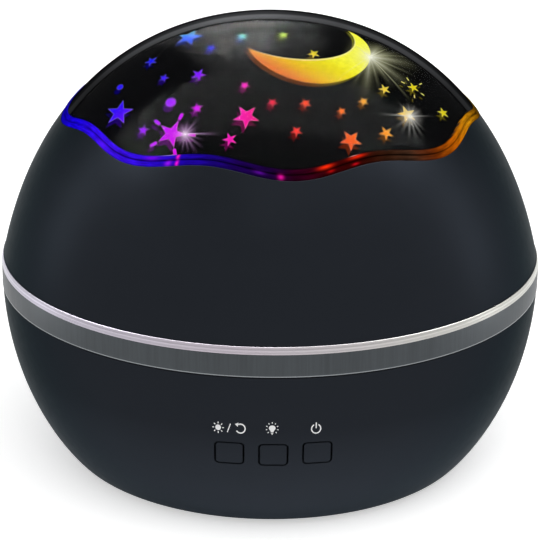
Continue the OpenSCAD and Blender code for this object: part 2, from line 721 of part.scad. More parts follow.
// The glowing rim stands this far proud of the ball
rim_proud = 0.2;
ledge_z = disc_z0 + disc_t + eps;
ledge_t = 1.9;
film_z = ledge_z + ledge_t + eps;

skirt_t = [t_at_height(skirt_z0 - z_mid, 0), t_at_height(skirt_z0 - z_mid, wall)];
lap_t = [t_at_height(lap_z, lap_depth), t_at_height(lap_z, wall)];

module upper_shell() color(black) loft([for (a = azimuths)
    let (edge = wave_at(a))
    concat(wall_line(a, skirt_t[0], t_at_angle(edge, 0), 0, 12),
           wall_line(a, t_at_angle(edge, lap_depth), lap_t[0], lap_depth, 2),
           wall_line(a, lap_t[1], skirt_t[1], wall, 7))]);

module wave_rim() color([0.35, 0.2, 0.9, 0.8]) loft([for (a = azimuths)
    let (low = wave_at(a), high = low + rim_angle)
    concat(wall_line(a, t_at_angle(low, -rim_proud), t_at_angle(high, -rim_proud), -rim_proud, 2),
           wall_line(a, t_at_angle(high, lap_depth), t_at_angle(low, lap_depth), lap_depth, 1))]);

module dome_cover() color([0.8, 0.85, 0.9, 0.35]) {
    near_top = 0.94;
    capped_loft([for (a = azimuths)
        let (edge = wave_at(a) + rim_angle)
        concat(wall_line(a, near_top, t_at_angle(edge, 0), 0, 8),
               wall_line(a, t_at_angle(edge, lap_depth), lap_t[0], lap_depth, 2),
               wall_line(a, lap_t[1], near_top, wall, 9))],
        [0, 0, z_mid + dome_h], [0, 0, z_mid + dome_h - wall]);
}

// Ring inside the shell's lower edge: it rests on the turntable and carries the film
module cover_ring() color(black) {
    dome_band(wall + eps, wall + 1.3, skirt_z0 + 0.2 - z_mid, ledge_z + 0.5 - z_mid);
    translate([0, 0, z_mid]) rotate_extrude() intersection() {
        dome_band_2d(wall + eps, 12, ledge_z - z_mid, ledge_z + ledge_t - z_mid);
        translate([ball_r - 10.5, 0]) square([12, body_d]);
    }
    // Lugs that pass through the turntable's notches, then turn under its rim
    for (a = lug_angles)
        ring_part(lug_r, ball_r - 3.4, skirt_z0 + 0.2, skirt_z0 + 1.5, a - lug_half, a + lug_half);
}

// The front figures lie on a plane that faces out and up: [across, up, half width, turn to the right]
front_stars = [
    [-19.5, 47.5, 3.1, 21], [-14, 42.5, 1.1, 30], [-28, 40.5, 1.3, -22], [-24.5, 34.5, 1, 22],
    [-16.5, 34.5, 1.5, 27], [-34.5, 26.5, 3.1, 12], [-28.5, 21, 1.2, 11], [-16.5, 25.5, 1.2, -6],
    [-22, 19.5, 3.1, 25], [-5.5, 23, 2.8, -33], [-6, 31, 1.1, 33], [-9, 17.5, 1.4, -20],
    [-7, 46, 1.2, -5], [2.5, 46.5, 1.2, -7], [9.5, 40.5, 1.2, -27], [0.2, 26.5, 1.1, 34],
    [5.5, 19.5, 1.2, -33], [7.5, 26.5, 1.2, -26], [15.5, 25, 1, -22], [20.5, 28, 1.1, -24],
    [17.5, 18, 2.4, 36], [25.5, 20.5, 1.5, -32], [25.5, 32, 1.2, -23], [32.5, 34, 1.2, -21],
    [30.5, 26, 2.1, -22], [39.5, 28.5, 1.2, -19]
];
// Round dots beside them: [across, up, radius]
round_dots = [[-35, 34, 0.8], [-22.5, 27.5, 1.2]];
// Dashes round one large star
burst = [-22, 19.5];
burst_turn = 25;
burst_middle = 4.6;
dash_l = 1.8;
dash_w = 0.75;
// The crescent runs from tip to tip: two curves along its outer edge, one along its inner edge
moon_tips = [[-5.5, 42], [18.5, 54]];
moon_low = [15.5, 33];
moon_curves = [
    [moon_tips[0], [-3, 35], [7, 29.5], moon_low], [moon_low, [24, 36.5], [26, 47.5], moon_tips[1]],
    [moon_tips[1], [24.5, 38.5], [4.5, 35.5], moon_tips[0]]
];
moon_steps = 12;

// The far side carries rows of stars: [elevation, count, half the angle they span]
back_rows = [[43, 9, 72], [52, 7, 62], [61, 4, 44]];
row_sway = 2;
back_sizes = [2.5, 1.1, 1.1];
back_turn = 17;

// The figures' prisms start inside the film and end outside the dome
front_from = 3;
back_from = 46;
prism_end = 70;

inner_share = 0.4;
module star_2d(r) polygon([for (k = [0:9])
    let (q = star_scale * r * (k % 2 == 0 ? 1 : inner_share)) q * [sin(36 * k), cos(36 * k)]]);

module moon_2d() polygon([for (c = moon_curves, i = [0:moon_steps - 1]) curve_at(c, i / moon_steps)]);

// Prism through the film along a direction: local X right, local Y uphill, local Z outwards
module through_film(azimuth, elevation, from, place = [0, 0])
    translate([0, 0, z_mid]) rotate([90 - elevation, 0, azimuth]) translate([place[0], place[1], from])
        linear_extrude(prism_end - from) children();

module film_figures() {
    for (s = front_stars) through_film(0, film_lean, front_from, s) rotate(-s[3]) star_2d(s[2]);
    for (d = round_dots) through_film(0, film_lean, front_from, d) circle(r = star_scale * d[2], $fn = 24);
    for (k = [0:4]) through_film(0, film_lean, front_from, burst) rotate(-burst_turn - 72 * k)
        translate([0, burst_middle]) square([dash_w, dash_l], center = true);
    through_film(0, film_lean, front_from) moon_2d();
    for (row = back_rows, k = [0:row[1] - 1])
        through_film(180 + row[2] * (2 * k / (row[1] - 1) - 1), row[0] + row_sway * (k % 2), back_from)
            rotate(-back_turn * k) star_2d(back_sizes[k % 3]);
}

module film_wall() dome_band(film_depth, film_depth + film_t, film_z - z_mid, dome_h + 1);

module star_film() color([0.06, 0.06, 0.07]) difference() {
    film_wall();
    film_figures();
}

module film_windows() color([0.9, 0.5, 0.3]) intersection() {
    film_wall();
    film_figures();
}

module film_ring() color(white)
    dome_band(film_depth + film_t + eps, film_depth + 3, film_z - z_mid, film_z - z_mid + 4);

base_shell();
grey_band();
bright_strip();
deck();
battery_box();
battery_cells();
battery_springs();
battery_contacts();
rubber_feet();
housing_screws();
gear_motor();
motor_screws();
main_board();
board_parts();
board_screws();
switch_board();
tact_switches();
power_socket();
led_post();
led_board();
star_leds();
wire_leads();
bearing_washer();
retaining_clip();
rotation_button();
light_button();
power_button();
battery_door();
door_screw();
turntable();
drive_gear();
motor_shaft();
upper_shell();
cover_ring();
wave_rim();
dome_cover();
star_film();
film_windows();
film_ring();
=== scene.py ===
"""Looks of the star night light projector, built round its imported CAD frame.

Metres, +Z up, buttons towards -Y.
"""

import json
from math import atan2, cos, hypot, pi, radians, sin, sqrt

import bmesh
import bpy
from mathutils import Matrix, Vector


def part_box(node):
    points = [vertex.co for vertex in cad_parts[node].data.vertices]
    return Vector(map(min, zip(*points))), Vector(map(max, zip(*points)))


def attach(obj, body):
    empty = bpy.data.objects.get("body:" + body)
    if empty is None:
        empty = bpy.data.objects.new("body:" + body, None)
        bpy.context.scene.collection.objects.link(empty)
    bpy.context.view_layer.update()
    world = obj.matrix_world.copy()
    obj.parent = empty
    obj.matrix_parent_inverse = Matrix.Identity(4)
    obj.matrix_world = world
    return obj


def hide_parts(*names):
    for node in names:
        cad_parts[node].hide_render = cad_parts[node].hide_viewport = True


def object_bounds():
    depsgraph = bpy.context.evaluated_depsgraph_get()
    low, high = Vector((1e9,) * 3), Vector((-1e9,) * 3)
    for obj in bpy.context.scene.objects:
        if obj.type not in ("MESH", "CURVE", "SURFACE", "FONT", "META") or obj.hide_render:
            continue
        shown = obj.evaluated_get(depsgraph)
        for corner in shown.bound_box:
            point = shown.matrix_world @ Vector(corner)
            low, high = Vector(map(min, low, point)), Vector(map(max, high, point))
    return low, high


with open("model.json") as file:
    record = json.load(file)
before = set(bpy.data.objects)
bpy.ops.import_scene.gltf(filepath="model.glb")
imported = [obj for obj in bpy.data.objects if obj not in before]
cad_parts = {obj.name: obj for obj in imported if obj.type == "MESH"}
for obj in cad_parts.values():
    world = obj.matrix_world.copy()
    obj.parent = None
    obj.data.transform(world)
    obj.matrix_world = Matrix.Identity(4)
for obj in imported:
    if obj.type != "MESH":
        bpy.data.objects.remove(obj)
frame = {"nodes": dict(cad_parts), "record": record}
cad_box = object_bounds()

MM = 0.001

# ---------- The ball's shape, from the frame ----------

band_low, band_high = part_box("grey_band")
strip_low, strip_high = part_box("bright_strip")
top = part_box("dome_cover")[1].z
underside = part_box("base_shell")[0].z
shell_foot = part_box("upper_shell")[0].z
ball_r = min(-cad_box[0].x, cad_box[1].x, -cad_box[0].y, cad_box[1].y) - 0.002 * MM
shell_r = 64.9 * MM
z_mid = 48 * MM
dome_h = top - z_mid
bowl_h = z_mid - underside
wall = 1.8 * MM
lap_z, lap_depth = 32 * MM, 0.9 * MM
film_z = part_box("star_film")[0].z
film_depth, film_t = 2.1 * MM, 0.4 * MM
# The rings are drawn a little lower than the CAD's, and the strip leans with the shell over it
ring_drop = 0.22 * MM
strip_lean = 0.2
strip_crest = strip_low.z + 0.84 * (strip_high.z - strip_low.z)
wave_middle, wave_swing, wave_count, wave_turn = 36.3, 1.3, 8, 6
rim_angle = 2.5

DOME = [(shell_r, 0), (0.879 * shell_r, 0.665 * dome_h), (0.49 * shell_r, dome_h), (0, dome_h)]
BOWL = [
    (shell_r, 0), (1.011 * shell_r, -0.655 * bowl_h), (0.777 * shell_r, -bowl_h),
    (0.774 * shell_r, -bowl_h)]
curve_steps = 600


def bezier(p, t):
    a, b, c, d = (1 - t) ** 3, 3 * (1 - t) ** 2 * t, 3 * (1 - t) * t * t, t**3
    return Vector([a * p[0][i] + b * p[1][i] + c * p[2][i] + d * p[3][i] for i in (0, 1)])


def bezier_slope(p, t):
    a, b, c = 3 * (1 - t) ** 2, 6 * (1 - t) * t, 3 * t * t
    steps = [(p[1][i] - p[0][i], p[2][i] - p[1][i], p[3][i] - p[2][i]) for i in (0, 1)]
    return Vector([a * u + b * v + c * w for u, v, w in steps])


def outward(curve, t):
    """The half section's unit normal, away from the ball's middle."""
    d = bezier_slope(curve, t).normalized()
    return Vector((d.y, -d.x)) if curve is DOME else Vector((-d.y, d.x))


def inset(curve, t, depth):
    """A point of the half section (radius, height over the widest plane), moved inwards."""
    return bezier(curve, t) - depth * outward(curve, t)


def find(test, low=0.0, high=1.0, steps=30):
    """The least value at which a rising test holds."""
    for _ in range(steps):
        mid = (low + high) / 2
        if test(mid):
            high = mid
        else:
            low = mid
    return (low + high) / 2


def neighbours(table, key, value):
    """The entries of a table, sorted by key, that a value lies between, and its share of the way."""
    low, high = 0, len(table) - 1
    while high - low > 1:
        mid = (low + high) // 2
        if key(table[mid]) < value:
            low = mid
        else:
            high = mid
    before, after = key(table[low]), key(table[high])
    return table[low], table[high], (value - before) / ((after - before) or 1)


def t_at_height(z, depth):
    return find(lambda t: inset(DOME, t, depth).y > z)


def t_at_angle(angle, depth):
    """Where the dome at a depth under its surface reaches an elevation in degrees."""
    return find(lambda t: atan2(*inset(DOME, t, depth).yx) > radians(angle))


def bowl_t(z):
    return find(lambda t: bezier(BOWL, t).y < z)


def wave_at(azimuth):
    """Elevation of the wavy edge, in degrees, at an azimuth right of the front."""
    return wave_middle - wave_swing * cos(radians(wave_count * (azimuth - wave_turn)))


def spot(azimuth, p):
    """A half section's point, turned to an azimuth right of the front."""
    a = radians(azimuth)
    return Vector((p[0] * sin(a), -p[0] * cos(a), z_mid + p[1]))


# ---------- Mesh helpers ----------


def new_object(name, points, faces, sharp=35, slots=(), face_slots=None):
    """A smooth mesh whose edges steeper than sharp degrees stay sharp."""
    mesh = bpy.data.meshes.new(name)
    mesh.from_pydata([tuple(p) for p in points], [], faces)
    for material in slots:
        mesh.materials.append(material)
    if face_slots:
        mesh.polygons.foreach_set("material_index", face_slots)
    mesh.polygons.foreach_set("use_smooth", [True] * len(mesh.polygons))
    mesh.set_sharp_from_angle(angle=radians(sharp))
    mesh.validate()
    piece = bpy.data.objects.new(name, mesh)
    bpy.context.scene.collection.objects.link(piece)
    return piece


def finish_piece(piece, body, replaced=()):
    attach(piece, body)
    if replaced:
        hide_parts(*replaced)
    return piece


def loft(name, rings, closed_rings=True, cap=False, **options):
    """Faces between like rings of points; closed_rings joins the last ring to the first."""
    count, size = len(rings), len(rings[0])
    faces = []
    for i in range(count if closed_rings else count - 1):
        for j in range(size):
            a, b = i * size + j, i * size + (j + 1) % size
            c, d = (i + 1) % count * size + (j + 1) % size, (i + 1) % count * size + j
            faces.append((a, b, c, d))
    if cap:
        faces.append(tuple(range(size - 1, -1, -1)))
        faces.append(tuple(range((count - 1) * size, count * size)))
    return new_object(name, [p for ring in rings for p in ring], faces, **options)


def lathe(name, profile, steps=256, **options):
    """A closed profile of (radius, height) turned about the axis; points on the axis become poles."""
    points, faces, rows = [], [], []
    for r, z in profile:
        if r < 1e-7:
            rows.append([len(points)] * steps)
            points.append(Vector((0, 0, z)))
        else:
            rows.append(list(range(len(points), len(points) + steps)))
            turns = [2 * pi * k / steps for k in range(steps)]
            points += [Vector((r * sin(a), r * cos(a), z)) for a in turns]
    for i, low in enumerate(rows):
        high = rows[(i + 1) % len(rows)]
        for k in range(steps):
            m = (k + 1) % steps
            ring = [low[k], low[m], high[m], high[k]]
            face = [v for n, v in enumerate(ring) if v != ring[n - 1]]
            if len(face) > 2:
                faces.append(tuple(face))
    return new_object(name, points, faces, **options)


def face_outwards(piece, merge=0.0):
    """Turns the faces outwards, joins points closer than merge and drops points without a face."""
    work = bmesh.new()
    work.from_mesh(piece.data)
    if merge:
        bmesh.ops.remove_doubles(work, verts=work.verts, dist=merge)
    loose = [v for v in work.verts if not v.link_faces]
    bmesh.ops.delete(work, geom=loose, context="VERTS")
    bmesh.ops.recalc_face_normals(work, faces=work.faces)
    work.to_mesh(piece.data)
    work.free()
    return piece


def prism(rings, name="cutter", **options):
    """A closed solid through rings of points, with flat ends."""
    return face_outwards(loft(name, rings, closed_rings=False, cap=True, **options))


def combine(piece, cutter, operation):
    """A boolean with the cutter, applied to the piece; the cutter is removed."""
    modifier = piece.modifiers.new("cut", "BOOLEAN")
    modifier.operation = operation
    modifier.solver = "EXACT"
    modifier.object = cutter
    bpy.context.view_layer.update()
    depsgraph = bpy.context.evaluated_depsgraph_get()
    mesh = bpy.data.meshes.new_from_object(piece.evaluated_get(depsgraph))
    piece.modifiers.clear()
    piece.data = mesh
    bpy.data.objects.remove(cutter)


# ---------- Materials ----------


def grey(level):
    return (level, level, level, 1.0)


def srgb(r, g, b):
    """A colour written as the screen shows it, 0 to 255, as the shader's linear one."""
    linear = [v / 255 / 12.92 if v <= 10 else ((v / 255 + 0.055) / 1.055) ** 2.4 for v in (r, g, b)]
    return (*linear, 1.0)


def shade(colour, level):
    return tuple(level * v for v in colour[:3]) + (1.0,)


class Tree:
    """Short names for the nodes of a material, a lamp or the world."""

    def __init__(self, owner):
        owner.use_nodes = True
        self.nodes, self.links = owner.node_tree.nodes, owner.node_tree.links

    def node(self, kind, values=(), **settings):
        made = self.nodes.new("ShaderNode" + kind)
        for key, value in settings.items():
            setattr(made, key, value)
        for socket, value in dict(values).items():
            self.feed(made.inputs[socket], value)
        return made

    def feed(self, socket, value):
        """Links a node's output to a socket, or writes a constant there."""
        if isinstance(value, bpy.types.NodeSocket):
            self.links.new(value, socket)
        else:
            socket.default_value = value

    def here(self):
        """The object's own coordinates in metres."""
        return self.node("TexCoord").outputs["Object"]

    def xyz(self, vector=None):
        """Outputs X, Y and Z of a vector, or of the object's own coordinates."""
        return self.node("SeparateXYZ", {0: vector or self.here()}).outputs

    def math(self, operation, a, b=0.0, c=0.0):
        return self.node("Math", {0: a, 1: b, 2: c}, operation=operation).outputs[0]

    def times(self, a, b):
        """Two colours multiplied channel by channel."""
        return self.node("VectorMath", {0: a, 1: b}, operation="MULTIPLY").outputs[0]

    def scaled(self, colour, factor):
        return self.node("VectorMath", {0: colour, "Scale": factor}, operation="SCALE").outputs[0]

    def reach(self, factor, low, high, first=0.0, last=1.0):
        """A number that goes from first to last as factor goes from low to high."""
        values = {"Value": factor, "From Min": low, "From Max": high, "To Min": first, "To Max": last}
        return self.node("MapRange", values).outputs[0]

    def ramp(self, factor, stops):
        """Colours along a factor; stops are (place, grey level) or (place, r, g, b as on the screen)."""
        made = self.node("ValToRGB", {"Fac": factor})
        elements = made.color_ramp.elements
        elements.remove(elements[1])
        elements[0].position = stops[0][0]
        for n, (place, *colour) in enumerate(stops):
            stop = elements.new(place) if n else elements[0]
            stop.color = srgb(*colour) if len(colour) == 3 else grey(*colour)
        return made.outputs["Color"]

    def seen_share(self):
        """1 for what is seen straight, by gloss or through glass, and 0 for the light on things."""
        path = self.node("LightPath").outputs
        seen = self.math("ADD", path["Is Camera Ray"], path["Is Glossy Ray"])
        return self.math("MINIMUM", self.math("ADD", seen, path["Is Transmission Ray"]), 1.0)


class Surface(Tree):
    """A material round one Principled shader."""

    def __init__(self, name, **values):
        self.material = bpy.data.materials.new(name)
        super().__init__(self.material)
        self.shader = self.nodes["Principled BSDF"]
        for socket, value in values.items():
            socket = socket.replace("_", " ").title().replace("Ior", "IOR")
            self.shader.inputs[socket].default_value = value

    def uv(self, name):
        return self.xyz(self.node("UVMap", uv_map=name).outputs[0])

    def facing(self):
        return self.node("LayerWeight", {"Blend": 0.5}).outputs["Facing"]

    def noise(self, size, detail=3.0, scale=(1, 1, 1), roughness=0.5):
        """Noise whose grain is size metres across."""
        place = self.node("Mapping", {"Vector": self.here(), "Scale": scale}).outputs[0]
        values = {"Vector": place, "Scale": 1 / size, "Detail": detail, "Roughness": roughness}
        return self.node("TexNoise", values).outputs["Fac"]

    def between(self, factor, low, high):
        """A number that goes from low to high over the middle of a noise's range."""
        return self.reach(factor, 0.3, 0.7, low, high)

    def blend(self, factor, low, high):
        made = self.node("Mix", data_type="RGBA")
        for index, value in ((0, factor), (6, low), (7, high)):
            self.feed(made.inputs[index], value)
        return made.outputs[2]

    def set(self, socket, source):
        self.links.new(source, self.shader.inputs[socket])

    def bump(self, height, depth):
        self.set("Normal", self.node("Bump", {"Height": height, "Distance": depth}).outputs[0])

    def show(self, shader):
        self.links.new(shader, self.nodes["Material Output"].inputs["Surface"])
        return self.material


def finish(name, low, high, drift, roughness, patches, grain, depth, **values):
    """Colour drifts from low to high and gloss between two values, over a fine grain.

    The sizes of drift, patches and grain are in millimetres; drift and grain also give the noise's detail.
    """
    s = Surface(name, **values)
    s.set("Base Color", s.blend(s.noise(drift[0] * MM, drift[1]), low, high))
    s.set("Roughness", s.between(s.noise(patches * MM), *roughness))
    s.bump(s.noise(grain[0] * MM, grain[1]), depth)
    return s.material


def moulding(name, colour, roughness, depth, variety):
    """Moulded plastic: slow colour drift, uneven gloss and a fine grain."""
    low, high = shade(colour, 1 - variety), shade(colour, 1 + variety)
    return finish(name, low, high, (20, 2), (roughness * 0.92, roughness * 1.08), 4, (0.6, 4), depth)


def shell_black():
    """Satin black moulding, painted lighter towards its foot as light from the floor and painted darker
    towards the rim as shade.
    """
    s = Surface("shell_black", metallic=0.4, specular_ior_level=0.0, specular_tint=(0.46, 0.5, 0.5, 1))
    # The height ramp paints light from the floor towards the foot and shade towards the rim.
    height = s.reach(s.xyz()["Z"], z_mid - 48 * MM, z_mid + 40 * MM)
    painted_light_and_shade = s.ramp(height, [
        (0, 2.8), (0.07, 2.5), (0.18, 1.85), (0.34, 1.12), (0.46, 1.05), (0.75, 1), (0.85, 0.88),
        (0.9, 0.74), (0.96, 0.58)])
    wide = s.blend(s.noise(0.03), srgb(32, 35, 40), srgb(34, 37, 42))
    s.set("Base Color", s.times(painted_light_and_shade, wide))
    s.set("Roughness", s.between(s.noise(0.002), 0.31, 0.37))
    s.bump(s.noise(0.0004, 4), 1.5e-6)
    return s.material


def brushed(name, colour, across, metallic, roughness, variety):
    """Metal with fine lines; across says how much finer the lines are along each axis."""
    s = Surface(name, metallic=metallic)
    fine = s.noise(0.0005, 5, across, roughness=0.6)
    wide = s.noise(0.004, 2, across)
    mixed = s.math("MULTIPLY_ADD", fine, 0.7, s.math("MULTIPLY", wide, 0.3))
    low, high = shade(colour, 1 - variety), shade(colour, 1 + variety)
    s.set("Base Color", s.blend(s.between(mixed, 0, 1), low, high))
    s.set("Roughness", s.between(fine, roughness * 0.85, roughness * 1.2))
    s.bump(fine, 4e-6)
    return s.material


def striped_trim():
    """Satin bevel with three painted highlight lines along it, and painted light that is faintly lilac on
    the left and warm on the right.
    """
    s = Surface("strip_satin", metallic=0.8)
    here = s.xyz()
    # The height ramp paints three highlight lines on the bevel's ridges.
    lines = s.ramp(s.reach(here["Z"], strip_low.z - ring_drop, strip_crest), [
        (0.02, 0.5), (0.11, 0.72), (0.22, 0.58), (0.4, 0.61), (0.5, 0.77), (0.61, 0.54), (0.78, 0.5),
        (0.86, 0.68), (0.96, 0.4)])
    # Painted light, faintly lilac on the left and warm on the right.
    painted_side_light = s.ramp(s.reach(here["X"], -ball_r, ball_r), [
        (0, 212, 208, 224), (0.45, 212, 202, 212), (0.75, 218, 216, 212), (1, 222, 222, 214)])
    fine = s.noise(0.0005, 5, (0.04, 0.04, 2.5), roughness=0.6)
    s.set("Base Color", s.scaled(s.times(painted_side_light, lines), s.between(fine, 0.95, 1.05)))
    s.set("Roughness", s.between(fine, 0.26, 0.36))
    s.bump(fine, 1e-6)
    return s.material


def circuit_board():
    """Solder mask over straight tracks, with paler tinned pads."""
    s = Surface("circuit_board", specular_ior_level=0.5, roughness=0.35)
    cells = {"Vector": s.here(), "Scale": 260.0, "Randomness": 0.3}
    tracks = s.node("TexVoronoi", cells, distance="CHEBYCHEV", feature="F1").outputs["Distance"]
    raised = s.ramp(tracks, [(0.30, 0), (0.36, 1)])
    mask = s.blend(raised, srgb(14, 84, 44), srgb(28, 118, 62))
    pads = s.ramp(s.noise(0.0013, 0), [(0.66, 0), (0.69, 1)])
    s.set("Base Color", s.blend(pads, mask, srgb(196, 192, 176)))
    s.bump(raised, 2e-5)
    return s.material


def cell_wrap():
    """Shrink film with a dark end band along each cell."""
    s = Surface("cell_wrap", roughness=0.3)
    side = s.math("ABSOLUTE", s.xyz()["X"])
    bands = s.ramp(s.math("MULTIPLY", side, 40), [(0.52, 176, 116, 40), (0.54, 30, 30, 32)])
    s.set("Base Color", s.blend(s.noise(0.003), bands, srgb(120, 88, 44)))
    s.bump(s.noise(0.0008), 8e-6)
    return s.material


# Light through the film: colours round a point in front of the axis, from behind it over the left side
wheel_middle = (-2 * MM, -14 * MM)
WHEEL = [
    (0, 90, 220, 120), (0.09, 90, 228, 202), (0.14, 50, 108, 254), (0.21, 16, 12, 236),
    (0.28, 52, 14, 240), (0.325, 120, 20, 246), (0.375, 204, 14, 238), (0.44, 238, 20, 200),
    (0.475, 246, 18, 156), (0.52, 234, 28, 54), (0.57, 238, 62, 26), (0.61, 240, 94, 26),
    (0.65, 240, 148, 36), (0.7, 236, 201, 72), (0.75, 222, 208, 10), (0.91, 200, 230, 74),
    (1, 90, 220, 120)]
# The crescent's colours along moon_slant, from its lower left to its upper right
moon_slant, moon_start, moon_span = (1, 0.68, 1.27), 1.27 * z_mid + 52 * MM, 34 * MM
MOON = [
    (0, 226, 122, 54), (0.065, 231, 146, 49), (0.12, 231, 164, 44), (0.19, 234, 186, 34),
    (0.31, 234, 208, 38), (0.44, 238, 222, 36), (0.53, 246, 238, 50), (0.65, 248, 244, 64),
    (1, 250, 250, 66)]
# The rim's colours once round the ball, from the back over the left side
RIM = [
    (0, 40, 110, 90), (0.14, 15, 60, 170), (0.25, 20, 5, 175), (0.31, 24, 4, 214), (0.37, 60, 18, 226),
    (0.4, 46, 12, 206), (0.43, 32, 5, 172), (0.455, 24, 4, 118), (0.475, 26, 3, 76), (0.5, 26, 2, 50),
    (0.515, 42, 1, 26), (0.54, 50, 2, 6), (0.565, 48, 4, 2), (0.59, 48, 24, 13), (0.61, 60, 38, 26),
    (0.635, 98, 38, 5), (0.66, 180, 88, 5), (0.7, 190, 126, 12), (0.74, 136, 88, 8), (0.86, 100, 130, 30),
    (1, 40, 110, 90)]
# Bright spots where a light stands behind the rim: azimuth, place across, half length, half width, colour
SPARKS = [
    (14.2, 0.76, 2.0, 0.17, (255, 45, 10)), (23.4, 0.80, 2.4, 0.14, (235, 38, 10)),
    (15.4, 0.28, 1.0, 0.12, (170, 10, 10)), (22.4, 0.22, 1.0, 0.10, (190, 12, 25)),
    (2.5, 0.26, 0.75, 0.22, (225, 20, 155)), (-25.2, 0.78, 0.45, 0.22, (255, 25, 205)),
    (-25.0, 0.18, 0.45, 0.24, (250, 20, 225)), (-27.4, 0.22, 0.9, 0.24, (150, 20, 240)),
    (-32.5, 0.76, 2.2, 0.18, (110, 10, 230)), (-51, 0.25, 2.5, 0.25, (84, 20, 245)),
    (-3.0, 0.34, 1.4, 0.16, (84, 10, 140)), (-28, 0.97, 2.0, 0.05, (170, 140, 235)),
    (22.6, 0.98, 1.2, 0.05, (215, 160, 150))]


def wheel_colour(s):
    here = s.xyz()
    x = s.math("SUBTRACT", here["X"], wheel_middle[0])
    y = s.math("SUBTRACT", wheel_middle[1], here["Y"])
    return s.ramp(s.math("MULTIPLY_ADD", s.math("ARCTAN2", x, y), 0.5 / pi, 0.5), WHEEL)


def moon_colour(s):
    slant = s.node("VectorMath", {0: s.here(), 1: moon_slant}, operation="DOT_PRODUCT").outputs["Value"]
    return s.ramp(s.reach(slant, moon_start, moon_start + moon_span), MOON)


def glowing(name, colour_source, strength, base=0.04, pale=0.0, pale_colour=None):
    """A lit window: its own light, over a faintly coloured glossy base; pale mixes in a lighter colour."""
    s = Surface(name, roughness=0.3, specular_ior_level=0.0, emission_strength=strength)
    colour = colour_source(s)
    if pale:
        colour = s.blend(pale, colour, srgb(*pale_colour))
    s.set("Emission Color", s.scaled(colour, s.between(s.noise(0.0012), 0.92, 1.06)))
    s.set("Base Color", s.scaled(colour, base))
    s.set("Roughness", s.between(s.noise(0.002), 0.26, 0.36))
    return s.material


def rim_glow():
    """Edge-lit rim: u runs round the ball from the back over the front, v across the two ridges."""
    s = Surface("rim_glow", roughness=0.2, emission_strength=1.0, specular_ior_level=0.0)
    u, v = s.uv("around")[:2]
    colour = s.ramp(u, RIM)
    across = s.ramp(v, [
        (0, 0.45), (0.1, 0.85), (0.3, 1), (0.42, 0.7), (0.48, 0.12), (0.54, 0.12), (0.6, 0.75),
        (0.78, 1.05), (0.92, 0.9), (1, 0.4)])
    ends = s.ramp(u, [(0.3, 0.75), (0.38, 0.1), (0.62, 0), (0.7, 0.55)])
    along = s.node("CombineXYZ", {"X": s.math("MULTIPLY", u, 90), "Y": s.math("MULTIPLY", v, 5)}).outputs[0]
    streaks = s.node("TexNoise", {"Vector": along, "Scale": 1.0, "Detail": 3.0}).outputs["Fac"]
    lit = s.times(s.scaled(colour, s.between(streaks, 0.6, 1.5)), s.blend(ends, across, grey(0.9)))
    lit = s.times(lit, s.ramp(s.facing(), [(0.66, 1), (0.82, 0.6), (0.93, 0.12)]))
    for azimuth, place, half_length, half_width, spark in SPARKS:
        du = s.math("MULTIPLY_ADD", u, 360 / half_length, -(azimuth + 180) / half_length)
        dv = s.math("MULTIPLY_ADD", v, 1 / half_width, -place / half_width)
        far = s.math("MULTIPLY_ADD", du, du, s.math("MULTIPLY", dv, dv))
        lit = s.blend(s.math("EXPONENT", s.math("MULTIPLY", far, -1.2)), lit, srgb(*spark))
    s.set("Emission Color", lit)
    s.set("Base Color", s.scaled(colour, 0.05))
    s.set("Roughness", s.between(s.noise(0.001), 0.16, 0.26))
    return s.material


def pane(s, least, slant):
    """Clear acrylic that mirrors a little, more at a slant."""
    clear = s.node("BsdfTransparent", {"Color": (0.97, 0.975, 0.98, 1)}).outputs[0]
    ripple = s.node("Bump", {"Height": s.noise(0.02, 1), "Distance": 4e-6}).outputs[0]
    gloss = s.node("BsdfGlossy", {"Roughness": 0.09, "Normal": ripple}).outputs[0]
    mirror = s.math("MULTIPLY_ADD", s.math("POWER", s.facing(), 5.0), slant, least)
    return s.node("MixShader", {0: mirror, 1: clear, 2: gloss}).outputs[0]


def clear_dome():
    """The dome's outer face: near its outline the wall's thickness shows as a painted band, light between
    dark lines, brighter towards the top and just left of the middle.
    """
    s = Surface("clear_dome", roughness=0.3, specular_ior_level=0.0)
    facing, here = s.facing(), s.xyz()
    # The facing ramp paints the band: light between dark lines.
    painted_light_and_shade = s.ramp(facing, [
        (0.728, 92, 93, 95), (0.736, 30, 30, 31), (0.748, 30, 30, 31), (0.757, 96, 97, 99),
        (0.8, 108, 109, 112), (0.818, 98, 99, 102), (0.832, 58, 59, 61), (0.87, 54, 55, 57),
        (0.9, 34, 34, 36), (0.925, 10, 10, 11)])
    # Painted light: the band is brighter just left of the middle and towards the top.
    side = s.ramp(s.reach(here["X"], -40 * MM, 40 * MM), [
        (0, 0.5), (0.25, 0.7), (0.35, 1), (0.48, 1), (0.58, 0.66), (0.7, 0.46), (1, 0.55)])
    painted_light_to_top = s.reach(here["Z"], z_mid + 43 * MM, z_mid + 56 * MM, 0.3)
    s.set("Base Color", s.scaled(s.times(painted_light_and_shade, side), painted_light_to_top))
    cover = s.ramp(facing, [(0.725, 0), (0.742, 1)])
    layers = {0: cover, 1: pane(s, 0.0012, 0.014), 2: s.shader.outputs[0]}
    return s.show(s.node("MixShader", layers).outputs[0])


def clear_dome_inside():
    s = Surface("clear_dome_inside")
    return s.show(pane(s, 0, 0.004))


def haze_light(name, colour):
    """Light that fades from v = 0 at a glint's middle to nothing at v = 1; u is its brightness."""
    s = Surface(name, roughness=0.5, specular_ior_level=0.0, emission_strength=1.0, base_color=(0, 0, 0, 1))
    bright, fade = s.uv("fade")[:2]
    left = s.math("POWER", s.math("MAXIMUM", s.math("SUBTRACT", 1.0, fade), 0.0), 2.0)
    mottled = s.math("MULTIPLY", left, s.between(s.noise(0.003), 0.9, 1.1))
    s.set("Emission Color", s.blend(left, colour, srgb(255, 255, 250)))
    s.set("Alpha", s.math("MINIMUM", s.math("MULTIPLY", mottled, bright), 1.0))
    return s.material


